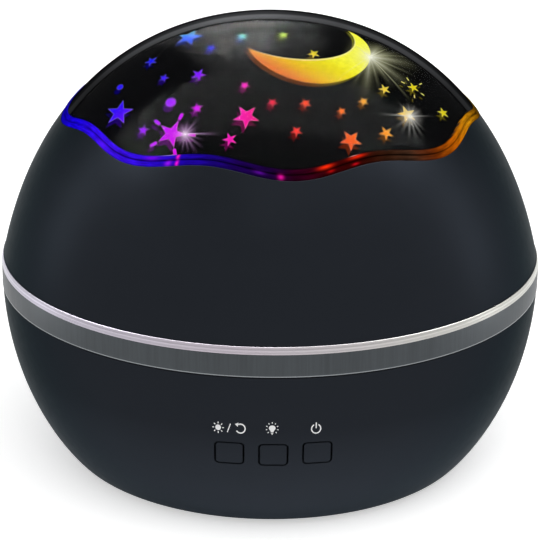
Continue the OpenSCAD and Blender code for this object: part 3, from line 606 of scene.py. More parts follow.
black = shell_black()
upright = (1, 1, 0.03)
band_finish = brushed("band_brushed", srgb(62, 66, 69), upright, 0.75, 0.42, 0.16)
# A lighter copy of the band's metal, painted on the chamfer as its highlight.
chamfer_highlight_finish = brushed("band_chamfer_painted_highlight", srgb(122, 126, 129), (1, 1, 0.2), 0.8, 0.3, 0.05)
strip_finish = striped_trim()
film_finish = finish("black_film", srgb(7, 7, 8), srgb(11, 11, 12), (12, 2), (0.4, 0.55), 3, (0.6, 4), 2e-6,
                     specular_ior_level=0.0)
rim_finish = rim_glow()
dome_finish, dome_inside = clear_dome(), clear_dome_inside()
ink = finish("white_ink", srgb(232, 232, 233), srgb(246, 246, 246), (1, 3), (0.45, 0.6), 0.6, (0.2, 3),
             2e-6, specular_ior_level=0.3)
star_light = glowing("star_light", wheel_colour, 1.0)
star_edge_light = glowing("star_edge_light", wheel_colour, 0.95, pale=0.2, pale_colour=(255, 240, 230))
# The dim twins glow as painted copies of the windows' light.
star_twin_painted_glow = glowing("star_twin_painted_glow", wheel_colour, 0.11, base=0.02)
moon_light = glowing("moon_light", moon_colour, 1.0)
moon_edge_light = glowing("moon_edge_light", moon_colour, 0.95, pale=0.45, pale_colour=(255, 244, 190))
# The moon's dim twin glows as a painted copy of its light.
moon_twin_painted_glow = glowing("moon_twin_painted_glow", moon_colour, 0.13, base=0.02)

SLOT_FINISH = {
    "black_shell": black, "brushed_band": band_finish, "bright_trim": strip_finish,
    "clear_dome": dome_finish, "glow_rim": rim_finish, "black_film": film_finish, "star_windows": star_light,
    "circuit_board": circuit_board(), "cell_jacket": cell_wrap(),
    "white_plastic": moulding("white_plastic", srgb(226, 226, 222), 0.42, 6e-6, 0.03),
    "inner_plastic": moulding("inner_plastic", srgb(42, 43, 46), 0.55, 1e-5, 0.1),
    "steel": finish("plated_steel", srgb(168, 170, 174), srgb(205, 207, 210), (3, 3), (0.22, 0.38), 0.8,
                    (0.2, 5), 3e-6, metallic=1.0),
    "rubber": finish("soft_rubber", srgb(20, 20, 21), srgb(36, 36, 37), (1, 3), (0.7, 0.85), 0.6,
                     (0.3, 6), 1.2e-5, specular_ior_level=0.3),
    "lead_jacket": finish("lead_jacket", srgb(150, 26, 22), srgb(190, 40, 32), (2, 3), (0.45, 0.45), 1,
                          (0.4, 3), 6e-6),
    "led_lens": finish("led_lens", srgb(236, 206, 96), srgb(250, 228, 140), (1.2, 3), (0.2, 0.35), 0.6,
                       (0.3, 3), 4e-6),
}
for subpart in frame["record"]["subparts"]:
    for material_slot in frame["nodes"][subpart["node"]].material_slots:
        material_slot.material = SLOT_FINISH[subpart["material_slot"]]


# ---------- Shells of the base ----------

button_w, button_h, button_corner, button_gap = 6.0 * MM, 5.8 * MM, 0.8 * MM, 0.3 * MM
button_z = 23.3 * MM
button_t = bowl_t(button_z - z_mid)
button_r = bezier(BOWL, button_t).x
bowl_normal = outward(BOWL, button_t)
# The outer caps' outlines turn by this much for each millimetre from the middle one
button_lean = -0.0055
button_xs = {}
for cap_name in ("rotation_button", "light_button", "power_button"):
    button_xs[cap_name] = sum(c.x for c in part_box(cap_name)) / 2
hoop_steps = 288


def samples(curve, depth=0.0):
    """Points at a depth under a curve, evenly spaced, each with the curve's outward normal."""
    places = [k / curve_steps for k in range(curve_steps + 1)]
    return [(inset(curve, t, depth), outward(curve, t)) for t in places]


BOWL_LINE = samples(BOWL)


def bowl_radius(z):
    """The bowl's outer radius at a height over the widest plane."""
    (a, _), (b, _), f = neighbours(BOWL_LINE, lambda s: -s[0].y, -z)
    return a.x + (b.x - a.x) * f


def button_frame(x):
    """Axes at a button: u sideways, v up along the wall, w into the base."""
    into = Vector((0, bowl_normal.x, -bowl_normal.y))
    up = Vector((0, bowl_normal.y, bowl_normal.x))
    right = Vector((1, 0, 0)) + up * (button_lean * x / MM)
    return Vector((x, -button_r, button_z)), right, up, into


def on_bowl(place, u, v, depth):
    """The point at u, v in a button's frame that lies at a depth under the bowl's surface."""
    origin, right, up, into = place
    flat = origin + u * right + v * up

    def reached(w):
        p = flat + w * into
        return hypot(p.x, p.y) <= bowl_radius(p.z - z_mid) - depth / bowl_normal.x

    return flat + find(reached, -3 * MM, 6 * MM, 25) * into


def rounded_outline(w, h, r, corner_steps=6):
    """Points round a rectangle with round corners."""
    points = []
    for k, (sx, sy) in enumerate([(1, 1), (-1, 1), (-1, -1), (1, -1)]):
        for j in range(corner_steps + 1):
            a = radians(90 * k + 90 * j / corner_steps)
            points.append((sx * (w / 2 - r) + r * cos(a), sy * (h / 2 - r) + r * sin(a)))
    return points


def button_rings(place, levels):
    """Rounded outlines in a button's frame; levels are (growth, depth under the bowl), in millimetres."""
    rings = []
    for grow, depth in levels:
        grow, depth = grow * MM, depth * MM
        corner = max(button_corner + grow, 0.1 * MM)
        outline = rounded_outline(button_w + 2 * grow, button_h + 2 * grow, corner)
        rings.append([on_bowl(place, u, v, depth) for u, v in outline])
    return rings


def oval(w, h, y0, y1):
    """A flat oval along Y at the socket's height, in millimetres."""
    z = sum(c.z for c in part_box("power_socket")) / 2
    outline = rounded_outline(w * MM, h * MM, h * MM / 2 - 1e-6, corner_steps=10)
    return prism([[Vector((u, y * MM, z + v)) for u, v in outline] for y in (y0, y1)])


def block(half_x, y0, y1, z0, z1):
    ring = [(-half_x, y0), (half_x, y0), (half_x, y1), (-half_x, y1)]
    return prism([[Vector((x, y, z)) for x, y in ring] for z in (z0, z1)])


def rod(start, end, r):
    """A round bar from one point to another."""
    start, end = Vector(start), Vector(end)
    axis = (end - start).normalized()
    side = axis.orthogonal().normalized()
    other = axis.cross(side)
    return prism([[p + u * side + v * other for u, v in disc_outline(r, steps=48)] for p in (start, end)])


def true_normals(piece, curve):
    """Gives the outer surface its exact normals, so that cuts in it don't disturb the gloss."""
    tolerance, least_facing = 0.02 * MM, 0.97
    mesh, line, way = piece.data, samples(curve), 1 if curve is DOME else -1
    normals = [Vector((0, 0, 0))] * len(mesh.loops)
    for polygon in mesh.polygons:
        for index in polygon.loop_indices:
            p = mesh.vertices[mesh.loops[index].vertex_index].co
            z, r = p.z - z_mid, hypot(p.x, p.y)
            a, b, f = neighbours(line, lambda s: way * s[0].y, way * z)
            f = min(1, max(0, f))
            if r < 1e-6 or abs(r - (a[0].x + (b[0].x - a[0].x) * f)) > tolerance:
                continue
            n = a[1].lerp(b[1], f).normalized()
            n = Vector((n.x * p.x / r, n.x * p.y / r, n.y))
            if n.dot(polygon.normal) > least_facing:
                normals[index] = n
    mesh.normals_split_custom_set([tuple(n) for n in normals])


def make_base_shell():
    """The bowl with its rebate under the band, battery bay, socket, foot recesses and button openings."""
    floor_z = underside + wall + 0.4 * MM
    t0 = bowl_t(band_low.z - ring_drop - z_mid - 0.05 * MM)
    outer = [bezier(BOWL, t0 + (1 - t0) * (k / 60)) for k in range(61)]
    inner = [inset(BOWL, t0 + (1 - t0) * (k / 30), wall) for k in range(31)]
    inner = [p for p in inner if p.y > floor_z - z_mid + 0.2 * MM][::-1]
    rebate, rebate_h = 0.45 * MM, 0.22 * MM
    start = outer[0]
    outer[0] = bezier(BOWL, bowl_t(start.y - rebate_h - 0.06 * MM))
    profile = [
        (start.x - rebate, start.y), (start.x - rebate, start.y - rebate_h),
        (start.x - 0.03 * MM, start.y - rebate_h - 0.02 * MM), *outer, (0, underside - z_mid),
        (0, floor_z - z_mid), (inner[0].x - 0.5 * MM, floor_z - z_mid), *inner]
    profile = [(r, z + z_mid) for r, z in profile]
    shell = face_outwards(lathe("base_shell_skin", profile, steps=hoop_steps, slots=[black]))

    bay_x, bay_y, bay_top = 25.4 * MM, 23.8 * MM, 7 * MM
    collar, collar_top = 2.4 * MM, 6.2 * MM
    tab_x, tab_lap, tab_top = 6.5 * MM, 4 * MM, underside + 1.8 * MM
    latch_y, latch_top, latch_r = -28.8 * MM, 8 * MM, 1.7 * MM
    hinge_y, hinge_z, pin_x, pin_r = 21.6 * MM, underside + 1.9 * MM, bay_x + 2 * MM, 1.25 * MM
    foot_reach, foot_top, foot_r = 43 * MM, underside + 0.8 * MM, 4.2 * MM
    # Width, height and extent along Y of the socket's boss, of the well in it and of the hole behind that
    boss, well, hole = (16.9, 11.3, 54, 60), (12.9, 7.3, 58.2, 70), (9.1, 3.5, 53, 59)
    added = [
        block(bay_x + collar, -bay_y - collar, bay_y + collar, floor_z - 0.3 * MM, collar_top),
        oval(*boss),
    ]
    removed = [
        block(bay_x, -bay_y, bay_y, 0, bay_top),
        block(tab_x, latch_y - tab_lap, -bay_y + tab_lap, 0, tab_top),
        rod((0, latch_y, 0), (0, latch_y, latch_top), latch_r),
        rod((-pin_x, hinge_y, hinge_z), (pin_x, hinge_y, hinge_z), pin_r),
        oval(*well),
        oval(*hole),
    ]
    for k in range(4):
        a = radians(45 + 90 * k)
        x, y = foot_reach * cos(a), foot_reach * sin(a)
        removed.append(rod((x, y, 0), (x, y, foot_top), foot_r))
    gap = button_gap / MM
    flare = [(gap + 0.5, -0.35), (gap + 0.16, 0), (gap + 0.05, 0.07), (gap, 0.2), (gap, 3)]
    removed += [prism(button_rings(button_frame(x), flare)) for x in button_xs.values()]
    for piece in added:
        combine(shell, piece, "UNION")
    for piece in removed:
        combine(shell, piece, "DIFFERENCE")
    shell.data.polygons.foreach_set("use_smooth", [True] * len(shell.data.polygons))
    shell.data.set_sharp_from_angle(angle=radians(30))
    true_normals(shell, BOWL)
    finish_piece(shell, "base", ["base_shell"])


def make_buttons():
    """Caps that follow the bowl, with rounded edges and the flange that holds them in."""
    levels = [
        (0, 2.5), (0, 0.3), (-0.03, 0.14), (-0.1, 0.05), (-0.22, 0.01), (-0.6, 0), (-1.2, 0.01),
        (-1.8, 0.015)]
    for name, x in button_xs.items():
        origin, right, up, into = place = button_frame(x)
        rings = button_rings(place, levels)
        for depth, w, h in ((4.3, 6.0, 5.8), (4.3, 8.6, 8.4), (5.5, 8.6, 8.4)):
            outline = rounded_outline(w * MM, h * MM, button_corner)
            rings.insert(0, [origin + u * right + v * up + depth * MM * into for u, v in outline])
        cap = prism(rings, name + "_cap", slots=[black], sharp=40)
        finish_piece(cap, name, [name])


def hoop(name, outline, sharp, finishes, second):
    """A ring skin from its outer line; second tells which faces take the second finish."""
    inner_r = ball_r - 2 * MM
    profile = [(inner_r, outline[0][1]), *outline, (inner_r, outline[-1][1])]
    piece = face_outwards(lathe(name, profile, steps=hoop_steps, sharp=sharp, slots=finishes))
    for polygon in piece.data.polygons:
        polygon.material_index = int(second(polygon.center))
    return piece


def make_rings():
    """The brushed band with a chamfer at its foot painted lighter as a highlight, and the bright strip on
    top of it.
    """
    z0, z1 = band_low.z - ring_drop, band_high.z - ring_drop
    band = [
        (-0.3, z0), (-0.01, z0 + 0.02 * MM), (0, z0 + 0.05 * MM), (0, z0 + 0.27 * MM),
        (-0.02, z0 + 0.32 * MM), (-0.02, z1 - 0.12 * MM), (-0.12, z1)]
    band = [(ball_r + x * MM, z) for x, z in band]

    def on_chamfer(c):
        return z0 + 0.03 * MM < c.z < z0 + 0.29 * MM and hypot(c.x, c.y) > ball_r - 0.4 * MM

    piece = hoop("band_skin", band, 50, [band_finish, chamfer_highlight_finish], on_chamfer)
    finish_piece(piece, "base", ["grey_band"])

    foot = strip_low.z - ring_drop
    h = strip_crest - foot
    strip = [
        (-0.12, 0), (-0.02, 0.04), (0, 0.12), (-0.03, 0.24), (-0.03, 0.42), (0, 0.5), (-0.06, 0.62),
        (-0.06, 0.78), (-0.02, 0.86), (-0.04, 0.95), (-0.12, 1), (-0.75, 1)]
    strip = [(ball_r + x * MM, foot + share * h) for x, share in strip]
    strip.append((ball_r - 0.75 * MM, strip_high.z))
    strip = [(x - strip_lean * max(0, z - foot), z) for x, z in strip]
    # The strip's top face, in shade under the shell's lip, takes the black shell finish as painted shade.
    piece = hoop("strip_skin", strip, 60, [strip_finish, black], lambda c: c.z > strip_crest - 0.01 * MM)
    finish_piece(piece, "base", ["bright_strip"])


# ---------- Turning cover ----------

wave_steps = 480
azimuths = [360 * k / wave_steps - 180 for k in range(wave_steps)]


def line_of(azimuth, pairs):
    return [spot(azimuth, inset(DOME, t, depth)) for t, depth in pairs]


def span(t0, t1, depth, steps):
    return [(t0 + (t1 - t0) * k / steps, depth) for k in range(steps + 1)]


def make_upper_shell():
    """The turning shell: a lip over the strip, the outer face up to the wave, the lap and the inner face."""
    lip, lip_t = strip_crest + 0.05 * MM - z_mid, 0.45 * MM
    skirt = shell_foot - z_mid
    t_out, t_in, t_lip = t_at_height(lip, 0), t_at_height(skirt, wall), t_at_height(skirt, lip_t)
    lap_out, lap_in = t_at_height(lap_z, lap_depth), t_at_height(lap_z, wall)
    fine = 0.0015  # a short way along the curve, for the rounded edges
    rings = []
    for azimuth in azimuths:
        edge = wave_at(azimuth)
        t_edge, t_step = t_at_angle(edge, 0), t_at_angle(edge, lap_depth)
        pairs = [(t_lip, lip_t), (t_out, lip_t), (t_out, 0.1 * MM), (t_out + 1.2 * fine, 0.01 * MM)]
        pairs += span(t_out + 3 * fine, t_edge - 1.5 * fine, 0, 36)
        pairs += [(t_edge - 0.4 * fine, 0.05 * MM), (t_edge, 0.18 * MM)]
        pairs += span(t_step, lap_out, lap_depth, 3) + span(lap_in, t_in, wall, 12)
        rings.append(line_of(azimuth, pairs))
    piece = face_outwards(loft("upper_shell_skin", rings, slots=[black], sharp=40))
    true_normals(piece, DOME)
    finish_piece(piece, "cover", ["upper_shell"])


def set_uv(piece, name, values):
    """A UV map from one (u, v) for each vertex."""
    layer = piece.data.uv_layers.new(name=name)
    for loop in piece.data.loops:
        layer.data[loop.index].uv = values[loop.vertex_index]


def make_wave_rim():
    """Two rounded ridges with a groove between them."""
    ridge = 0.2 * MM
    levels = [
        (0.0, 0.1), (0.04, -0.5), (0.12, -0.85), (0.25, -1.0), (0.36, -0.85), (0.44, -0.3), (0.5, 0.6),
        (0.56, -0.3), (0.64, -0.85), (0.75, -1.0), (0.88, -0.85), (0.96, -0.5), (1.0, 0.1)]
    rings, marks = [], []
    for azimuth in azimuths + [180.0]:
        low = wave_at(azimuth)
        t0, t1 = t_at_angle(low, 0), t_at_angle(low + rim_angle, 0)
        pairs = [(t0 + (t1 - t0) * v, level * ridge) for v, level in levels]
        pairs += [(t1, lap_depth), ((t0 + t1) / 2, lap_depth), (t0, lap_depth)]
        rings.append(line_of(azimuth, pairs))
        marks += [((azimuth + 180) / 360, v) for v in [v for v, _ in levels] + [1.0, 0.5, 0.0]]
    piece = loft("wave_rim_skin", rings, closed_rings=False, slots=[rim_finish], sharp=60)
    set_uv(piece, "around", marks)
    finish_piece(face_outwards(piece, merge=1e-7), "cover", ["wave_rim"])


def make_dome():
    """The dome from its top down to the rim, round the lap behind it and up again inside."""
    near_top = 0.985
    lap_out, lap_in = t_at_height(lap_z, lap_depth), t_at_height(lap_z, wall)
    lines = []
    for azimuth in azimuths:
        edge = wave_at(azimuth) + rim_angle
        pairs = span(near_top, t_at_angle(edge, 0), 0, 40)
        pairs += span(t_at_angle(edge, lap_depth), lap_out, lap_depth, 4) + span(lap_in, near_top, wall, 40)
        lines.append(line_of(azimuth, pairs))
    points = [p for line in lines for p in line] + [Vector((0, 0, top)), Vector((0, 0, top - wall))]
    size, outer_pole, inner_pole = len(lines[0]), len(points) - 2, len(points) - 1
    faces = []
    for i in range(wave_steps):
        a, b = i * size, (i + 1) % wave_steps * size
        faces += [(a + j, b + j, b + j + 1, a + j + 1) for j in range(size - 1)]
        faces += [(outer_pole, b, a), (inner_pole, a + size - 1, b + size - 1)]
    finishes = [dome_finish, dome_inside]
    piece = face_outwards(new_object("dome_skin", points, faces, slots=finishes, sharp=40))
    for polygon in piece.data.polygons:
        middle = polygon.center - Vector((0, 0, z_mid))
        polygon.material_index = int(polygon.normal.dot(middle) < 0)
    finish_piece(piece, "cover", ["dome_cover"])


# ---------- Star film ----------

# The front figures are laid out on a plane that leans back: (across, up, half width, turn)
lean = 28
front_stars = [
    (-19.5, 47.5, 3.1, 21), (-14, 42.5, 1.1, 30), (-28, 40.5, 1.3, -22), (-24.5, 34.5, 1, 22),
    (-16.5, 34.5, 1.5, 27), (-34.5, 26.5, 3.1, 12), (-28.5, 21, 1.2, 11), (-16.5, 25.5, 1.2, -6),
    (-22, 19.5, 3.1, 25), (-5.5, 23, 2.8, -33), (-6, 31, 1.1, 33), (-9, 17.5, 1.4, -20),
    (-7, 46, 1.2, -5), (2.5, 46.5, 1.2, -7), (9.5, 40.5, 1.2, -27), (0.2, 26.5, 1.1, 34),
    (5.5, 19.5, 1.2, -33), (7.5, 26.5, 1.2, -26), (15.5, 25, 1, -22), (20.5, 28, 1.1, -24),
    (17.5, 18, 2.4, 36), (25.5, 20.5, 1.5, -32), (25.5, 32, 1.2, -23), (32.5, 34, 1.2, -21),
    (30.5, 26, 2.1, -22), (39.5, 28.5, 1.2, -19)]
round_dots = [(-35, 34, 0.8), (-22.5, 27.5, 1.2)]
burst_at, burst_turn = (-22, 19.5), 25
rayed_at, rayed_angles = (32.5, 34), (-69, -27, 49, 124, 178)
MOON_OUTER = [
    [(-5.5, 42), (-3, 35), (7, 29.5), (15.5, 33)],
    [(15.5, 33), (24, 36.5), (25.5, 46), (18, 51.2)],
]
MOON_INNER = [(-5.5, 42), (4.5, 35.5), (24.5, 38.5), (18, 51.2)]
# On the far side, rows of large and small stars: (elevation, count, half the angle they span)
back_rows = [(43, 9, 72), (52, 7, 62), (61, 4, 44)]
# The windows stand a hair proud of the film on both sides; each has a dim twin beside it, a painted glow in
# its colour
window_lift, window_low = 0.09 * MM, -film_t - 0.03 * MM
twin_lift, twin_low = 0.04 * MM, -0.1 * MM
twin_shift, moon_twin_shift = (-0.55, -1.25), (-0.65, -0.9)
glint_lift = 0.16 * MM

FILM_LINE = samples(DOME, film_depth)


def film_height(r, lift):
    """Height over the widest plane of the film's outer face at a radius, raised by lift."""
    (a, _), (b, _), f = neighbours(FILM_LINE, lambda s: -s[0].x, -r)
    slope = (b.y - a.y) / (a.x - b.x)
    return a.y + (b.y - a.y) * f + lift * hypot(1, slope)


def film_frame(azimuth, elevation, nearest=30 * MM):
    """Axes for drawing on the film from a direction: right, up, outwards, and where to look for it first."""
    a, e = radians(azimuth), radians(elevation)
    right = Vector((cos(a), sin(a), 0))
    up = Vector((-sin(e) * sin(a), sin(e) * cos(a), cos(e)))
    out = Vector((cos(e) * sin(a), -cos(e) * cos(a), sin(e)))
    return right, up, out, nearest


FRONT = film_frame(0, lean, nearest=3 * MM)


def on_film(place, x, y, lift):
    """The film's point behind x, y of a frame, raised by lift."""
    right, up, out, nearest = place
    flat = x * right + y * up

    def reached(s):
        p = flat + s * out
        return p.z >= film_height(hypot(p.x, p.y), lift)

    return flat + find(reached, nearest, 70 * MM, 25) * out + Vector((0, 0, z_mid))


def star_outline(r, turn, x=0, y=0):
    """A five-pointed star; small ones have slimmer points."""
    reach = (1.08, 0.44) if r > 2 else (1.22, 0.42)
    corners = [(r * reach[k % 2], radians(36 * k + turn)) for k in range(10)]
    return [(x + q * sin(a), y + q * cos(a)) for q, a in corners]


def disc_outline(r, x=0, y=0, steps=24):
    turns = [2 * pi * k / steps for k in range(steps)]
    return [(x + r * cos(a), y + r * sin(a)) for a in turns]


def dash_outline(angle, middle, length, width, x=0, y=0):
    """A short bar with round corners, pointing away from x, y; angles turn clockwise from straight up."""
    a = radians(angle)
    along, across = Vector((sin(a), cos(a))), Vector((cos(a), -sin(a)))
    start = Vector((x, y))
    corners = rounded_outline(width, length, 0.45 * width, corner_steps=3)
    return [tuple(start + across * u + along * (middle + v)) for u, v in corners]


def moved(outline, shift):
    return [(x + shift[0], y + shift[1]) for x, y in outline]


class Patches:
    """Many small raised shapes joined in one mesh; each is a closed fan with a rim."""

    def __init__(self):
        self.points, self.faces, self.slots = [], [], []

    def add(self, place, outline, lift, low, slot=0, border=0.0):
        """Raises an outline, in millimetres in a frame, from low to lift.

        Border is the width of its paler edge, as a share of the way to its middle.
        """
        count, first = len(outline), len(self.points)
        cx, cy = (sum(p[i] for p in outline) / count for i in (0, 1))
        inner = [(cx + (x - cx) * (1 - border), cy + (y - cy) * (1 - border)) for x, y in outline]
        layers = ((outline, low), (outline, lift), (inner, lift), ([(cx, cy)], lift), ([(cx, cy)], low))
        for ring, height in layers:
            self.points += [on_film(place, x * MM, y * MM, height) for x, y in ring]
        centre, under, edge = first + 3 * count, first + 3 * count + 1, 1 if border else slot
        for k in range(count):
            a, b = first + k, first + (k + 1) % count
            self.face((a, b, b + count, a + count), edge)
            a2, b2 = a + count, b + count
            if border:
                self.face((a2, b2, b2 + count, a2 + count), edge)
                a2, b2 = a2 + count, b2 + count
            self.face((a2, b2, centre), slot)
            self.face((b, a, under), slot)

    def face(self, corners, slot):
        self.faces.append(corners)
        self.slots.append(slot)

    def build(self, name, materials, merge=0.0):
        options = {"slots": materials, "face_slots": self.slots, "sharp": 30}
        return face_outwards(new_object(name, self.points, self.faces, **options), merge)


def make_stars():
    """The front figures and the rows of stars behind, each a lit window with its dim twin of painted glow.
    """
    windows, twins = Patches(), Patches()

    def add(place, outline, low=window_low, **options):
        windows.add(place, outline, window_lift, low, **options)
        twins.add(place, moved(outline, twin_shift), twin_lift, twin_low)

    figures = [star_outline(r, turn, x, y) for x, y, r, turn in front_stars]
    figures += [disc_outline(r, x, y) for x, y, r in round_dots]
    figures += [dash_outline(burst_turn + 72 * k, 4.6, 1.8, 0.75, *burst_at) for k in range(5)]
    for outline in figures:
        add(FRONT, outline, border=0.06)
    for angle in rayed_angles:
        add(FRONT, dash_outline(angle, 2.6, 0.95, 0.26, *rayed_at), twin_low, slot=1)
    for row, count, half_span in back_rows:
        for k in range(count):
            place = film_frame(180 + half_span * (2 * k / (count - 1) - 1), row + 2 * (k % 2))
            add(place, star_outline(1.1 if k % 3 else 2.5, 17 * k), border=0.08)
    piece = windows.build("star_windows_lit", [star_light, star_edge_light])
    finish_piece(piece, "cover", ["film_windows"])
    finish_piece(twins.build("star_twins", [star_twin_painted_glow]), "cover")


def crescent(rows, columns):
    """Points of the crescent in columns from tip to tip, each from its outer edge to its inner one."""
    grid = []
    for i in range(columns + 1):
        f = i / columns
        half = MOON_OUTER[0] if f < 0.5 else MOON_OUTER[1]
        outer, inner = bezier(half, 2 * f % 1 if f < 1 else 1), bezier(MOON_INNER, f)
        shares = [min(j / (rows - 1), 1 - 0.07 * (rows - j)) for j in range(rows + 1)]
        grid.append([outer.lerp(inner, share) for share in shares])
    return grid


def make_moon_piece(name, lift, low, shift, materials):
    """The crescent as a thin slab that follows the film, with a paler strip along its inner edge if lit."""
    rows, columns = 12, 60
    size, layer = rows + 1, (rows + 1) * (columns + 1)
    moon = Patches()
    for height in (lift, low):
        for line in crescent(rows, columns):
            moon.points += [on_film(FRONT, x * MM, y * MM, height) for x, y in moved(line, shift)]
    for i in range(columns):
        for j in range(rows):
            a = i * size + j
            quad = (a, a + 1, a + size + 1, a + size)
            moon.face(quad, 1 if j == rows - 1 and len(materials) > 1 else 0)
            moon.face(tuple(v + layer for v in quad[::-1]), 0)
        for a in (i * size, i * size + rows):
            moon.face((a, a + size, a + size + layer, a + layer), 0)
    finish_piece(moon.build(name, materials, merge=1e-6), "cover")


def make_moon():
    make_moon_piece("moon_lit", window_lift, window_low, (0, 0), [moon_light, moon_edge_light])
    make_moon_piece("moon_twin", twin_lift, twin_low, moon_twin_shift, [moon_twin_painted_glow])


def make_film():
    """The black film: one smooth skin with a closed top."""
    inside = film_depth + film_t
    t0, t1 = t_at_height(film_z - z_mid, film_depth), t_at_height(film_z - z_mid, inside)
    outer = [inset(DOME, t0 + (1 - t0) * k / 60, film_depth) for k in range(61)]
    inner = [inset(DOME, 1 - (1 - t1) * k / 60, inside) for k in range(61)]
    profile = [(max(p.x, 0), p.y + z_mid) for p in outer + inner]
    piece = face_outwards(lathe("star_film_skin", profile, slots=[film_finish]))
    finish_piece(piece, "cover", ["star_film"])


# ---------- Glints where light comes straight out of a window ----------


def make_glint(name, x, y, glow_r, colour, rays):
    """A soft disc on the film and rays over it: (angle clockwise from up, length, width, brightness)."""
    points, faces, fades = [], [], []

    def put(u, v, fade, brightness, lift):
        points.append(on_film(FRONT, (x + u) * MM, (y + v) * MM, lift))
        fades.append((brightness, fade))
        return len(points) - 1

    steps, circles, ray_steps = 40, 10, 12
    middle = put(0, 0, 0.0, 1.0, glint_lift)
    rows = []
    for c in range(1, circles + 1):
        ring = disc_outline(glow_r * c / circles, steps=steps)
        rows.append([put(u, v, (c / circles) ** 0.7, 1.0, glint_lift) for u, v in ring])
    for k in range(steps):
        m = (k + 1) % steps
        faces.append((middle, rows[0][k], rows[0][m]))
        faces += [(low[k], high[k], high[m], low[m]) for low, high in zip(rows, rows[1:])]
    for n, (angle, length, width, brightness) in enumerate(rays):
        a = radians(angle)
        lift = glint_lift + (0.02 + 0.004 * n) * MM
        before = ()
        for k in range(ray_steps + 1):
            f = k / ray_steps
            half = width / 2 * (0.08 + 0.92 * f) if width >= 1 else width / 2 * (1 - f) + 0.02
            trio = []
            for side in (-half, 0, half):
                fade = f + (1 - f) * 0.75 if side else f
                place = (sin(a) * f * length + cos(a) * side, cos(a) * f * length - sin(a) * side)
                trio.append(put(*place, fade, brightness, lift))
            for j in (0, 1) if before else ():
                faces.append((before[j], before[j + 1], trio[j + 1], trio[j]))
            before = trio
    piece = new_object(name, points, faces, slots=[haze_light(name + "_light", colour)])
    set_uv(piece, "fade", fades)
    finish_piece(piece, "cover")


def make_glints():
    make_glint("burst_glint", -19, 19.2, 3.2, srgb(240, 170, 250), [
        (92, 8.5, 1.5, 0.8), (91, 6, 0.6, 0.8), (38, 5.5, 1.5, 0.6), (8, 4.2, 1.3, 0.5),
        (-20, 3.6, 1.3, 0.5), (60, 4.5, 1.2, 0.4), (112, 5, 1.3, 0.45), (130, 6, 1.5, 0.55),
        (150, 6, 1.9, 0.6), (168, 5.2, 1.4, 0.6), (186, 5, 1.3, 0.6), (205, 4, 1.2, 0.4),
        (-90, 3.5, 1.3, 0.5)])
    make_glint("star_glint", 31.2, 25.6, 3.8, srgb(225, 222, 212), [
        (-94, 9, 1.5, 0.6), (-94, 7, 0.7, 0.5), (78, 7.5, 0.5, 0.8), (-38, 5.5, 1.2, 0.4),
        (-6, 4.6, 1.1, 0.4), (20, 4.2, 1.2, 0.5), (50, 4.2, 1.8, 0.5), (132, 5.5, 1.3, 0.4),
        (150, 6.6, 1.5, 0.55), (168, 7.2, 1.5, 0.6), (185, 7.4, 1.5, 0.6), (205, 6.4, 1.5, 0.55),
        (225, 6.4, 1.7, 0.45)])
    make_glint("moon_glint", 22.6, 41.3, 7.0, srgb(236, 236, 176), [
        (142, 16, 1.1, 1.0), (45, 9, 0.9, 0.9), (85, 13, 8, 0.62), (28, 8, 5, 0.6), (62, 10, 4, 0.5),
        (128, 13, 6, 0.6), (150, 11, 3, 0.45), (188, 15, 6.5, 0.55), (170, 12, 2.2, 0.4),
        (205, 14, 3, 0.4), (225, 14, 1.2, 0.5), (-45, 10, 0.7, 0.6), (108, 12, 2, 0.6), (70, 12, 1.6, 0.5)])


# ---------- Symbols over the buttons ----------


class Inlay:
    """Flat white shapes that follow the bowl, in millimetres sideways and up from a place on it."""

    stretch = 1.18
    lifts = (-0.05 * MM, 0.025 * MM)

    def __init__(self, x, z=30.5):
        self.x, self.z = x, z
        self.points, self.faces = [], []

    def put(self, u, v, lift):
        z = (self.z + v * self.stretch) * MM
        x = (self.x + u) * MM
        r = bowl_radius(z - z_mid) + lift
        self.points.append(Vector((x, -sqrt(r * r - x * x), z)))

    def shape(self, outline):
        """A filled outline with a thin edge."""
        first, count = len(self.points), len(outline)
        for lift in self.lifts:
            for u, v in outline:
                self.put(u, v, lift)
        self.faces.append(tuple(range(first + count, first + 2 * count)))
        self.faces.append(tuple(range(first + count - 1, first - 1, -1)))
        for k in range(count):
            a, b = first + k, first + (k + 1) % count
            self.faces.append((a, b, b + count, a + count))

    def bar(self, u, v, angle, length, width):
        """A bar with round ends, centred on u, v."""
        a = radians(angle)
        outline = rounded_outline(length, width, width / 2 - 0.001, corner_steps=4)
        self.shape([(u + x * cos(a) - y * sin(a), v + x * sin(a) + y * cos(a)) for x, y in outline])

    def rays(self, v, r, angles, length, width=0.2):
        """Bars in a circle round 0, v, each pointing away from it."""
        for angle in angles:
            a = radians(angle)
            self.bar(r * cos(a), v + r * sin(a), angle, length, width)

    def arc(self, v, r, width, start, stop, steps=36):
        """Part of a ring round 0, v, as short four-sided pieces in one strip."""
        first = len(self.points)
        for k in range(steps + 1):
            a = radians(start + (stop - start) * k / steps)
            for radius in (r - width / 2, r + width / 2):
                for lift in self.lifts:
                    self.put(radius * cos(a), v + radius * sin(a), lift)
        last = first + 4 * steps
        for a in range(first, last, 4):
            for p, q in ((0, 1), (1, 3), (3, 2), (2, 0)):
                self.faces.append((a + p, a + q, a + 4 + q, a + 4 + p))
        self.faces += [(first, first + 2, first + 3, first + 1), (last, last + 1, last + 3, last + 2)]

    def build(self, name):
        piece = face_outwards(new_object(name, self.points, self.faces, slots=[ink], sharp=30))
        finish_piece(piece, "base")


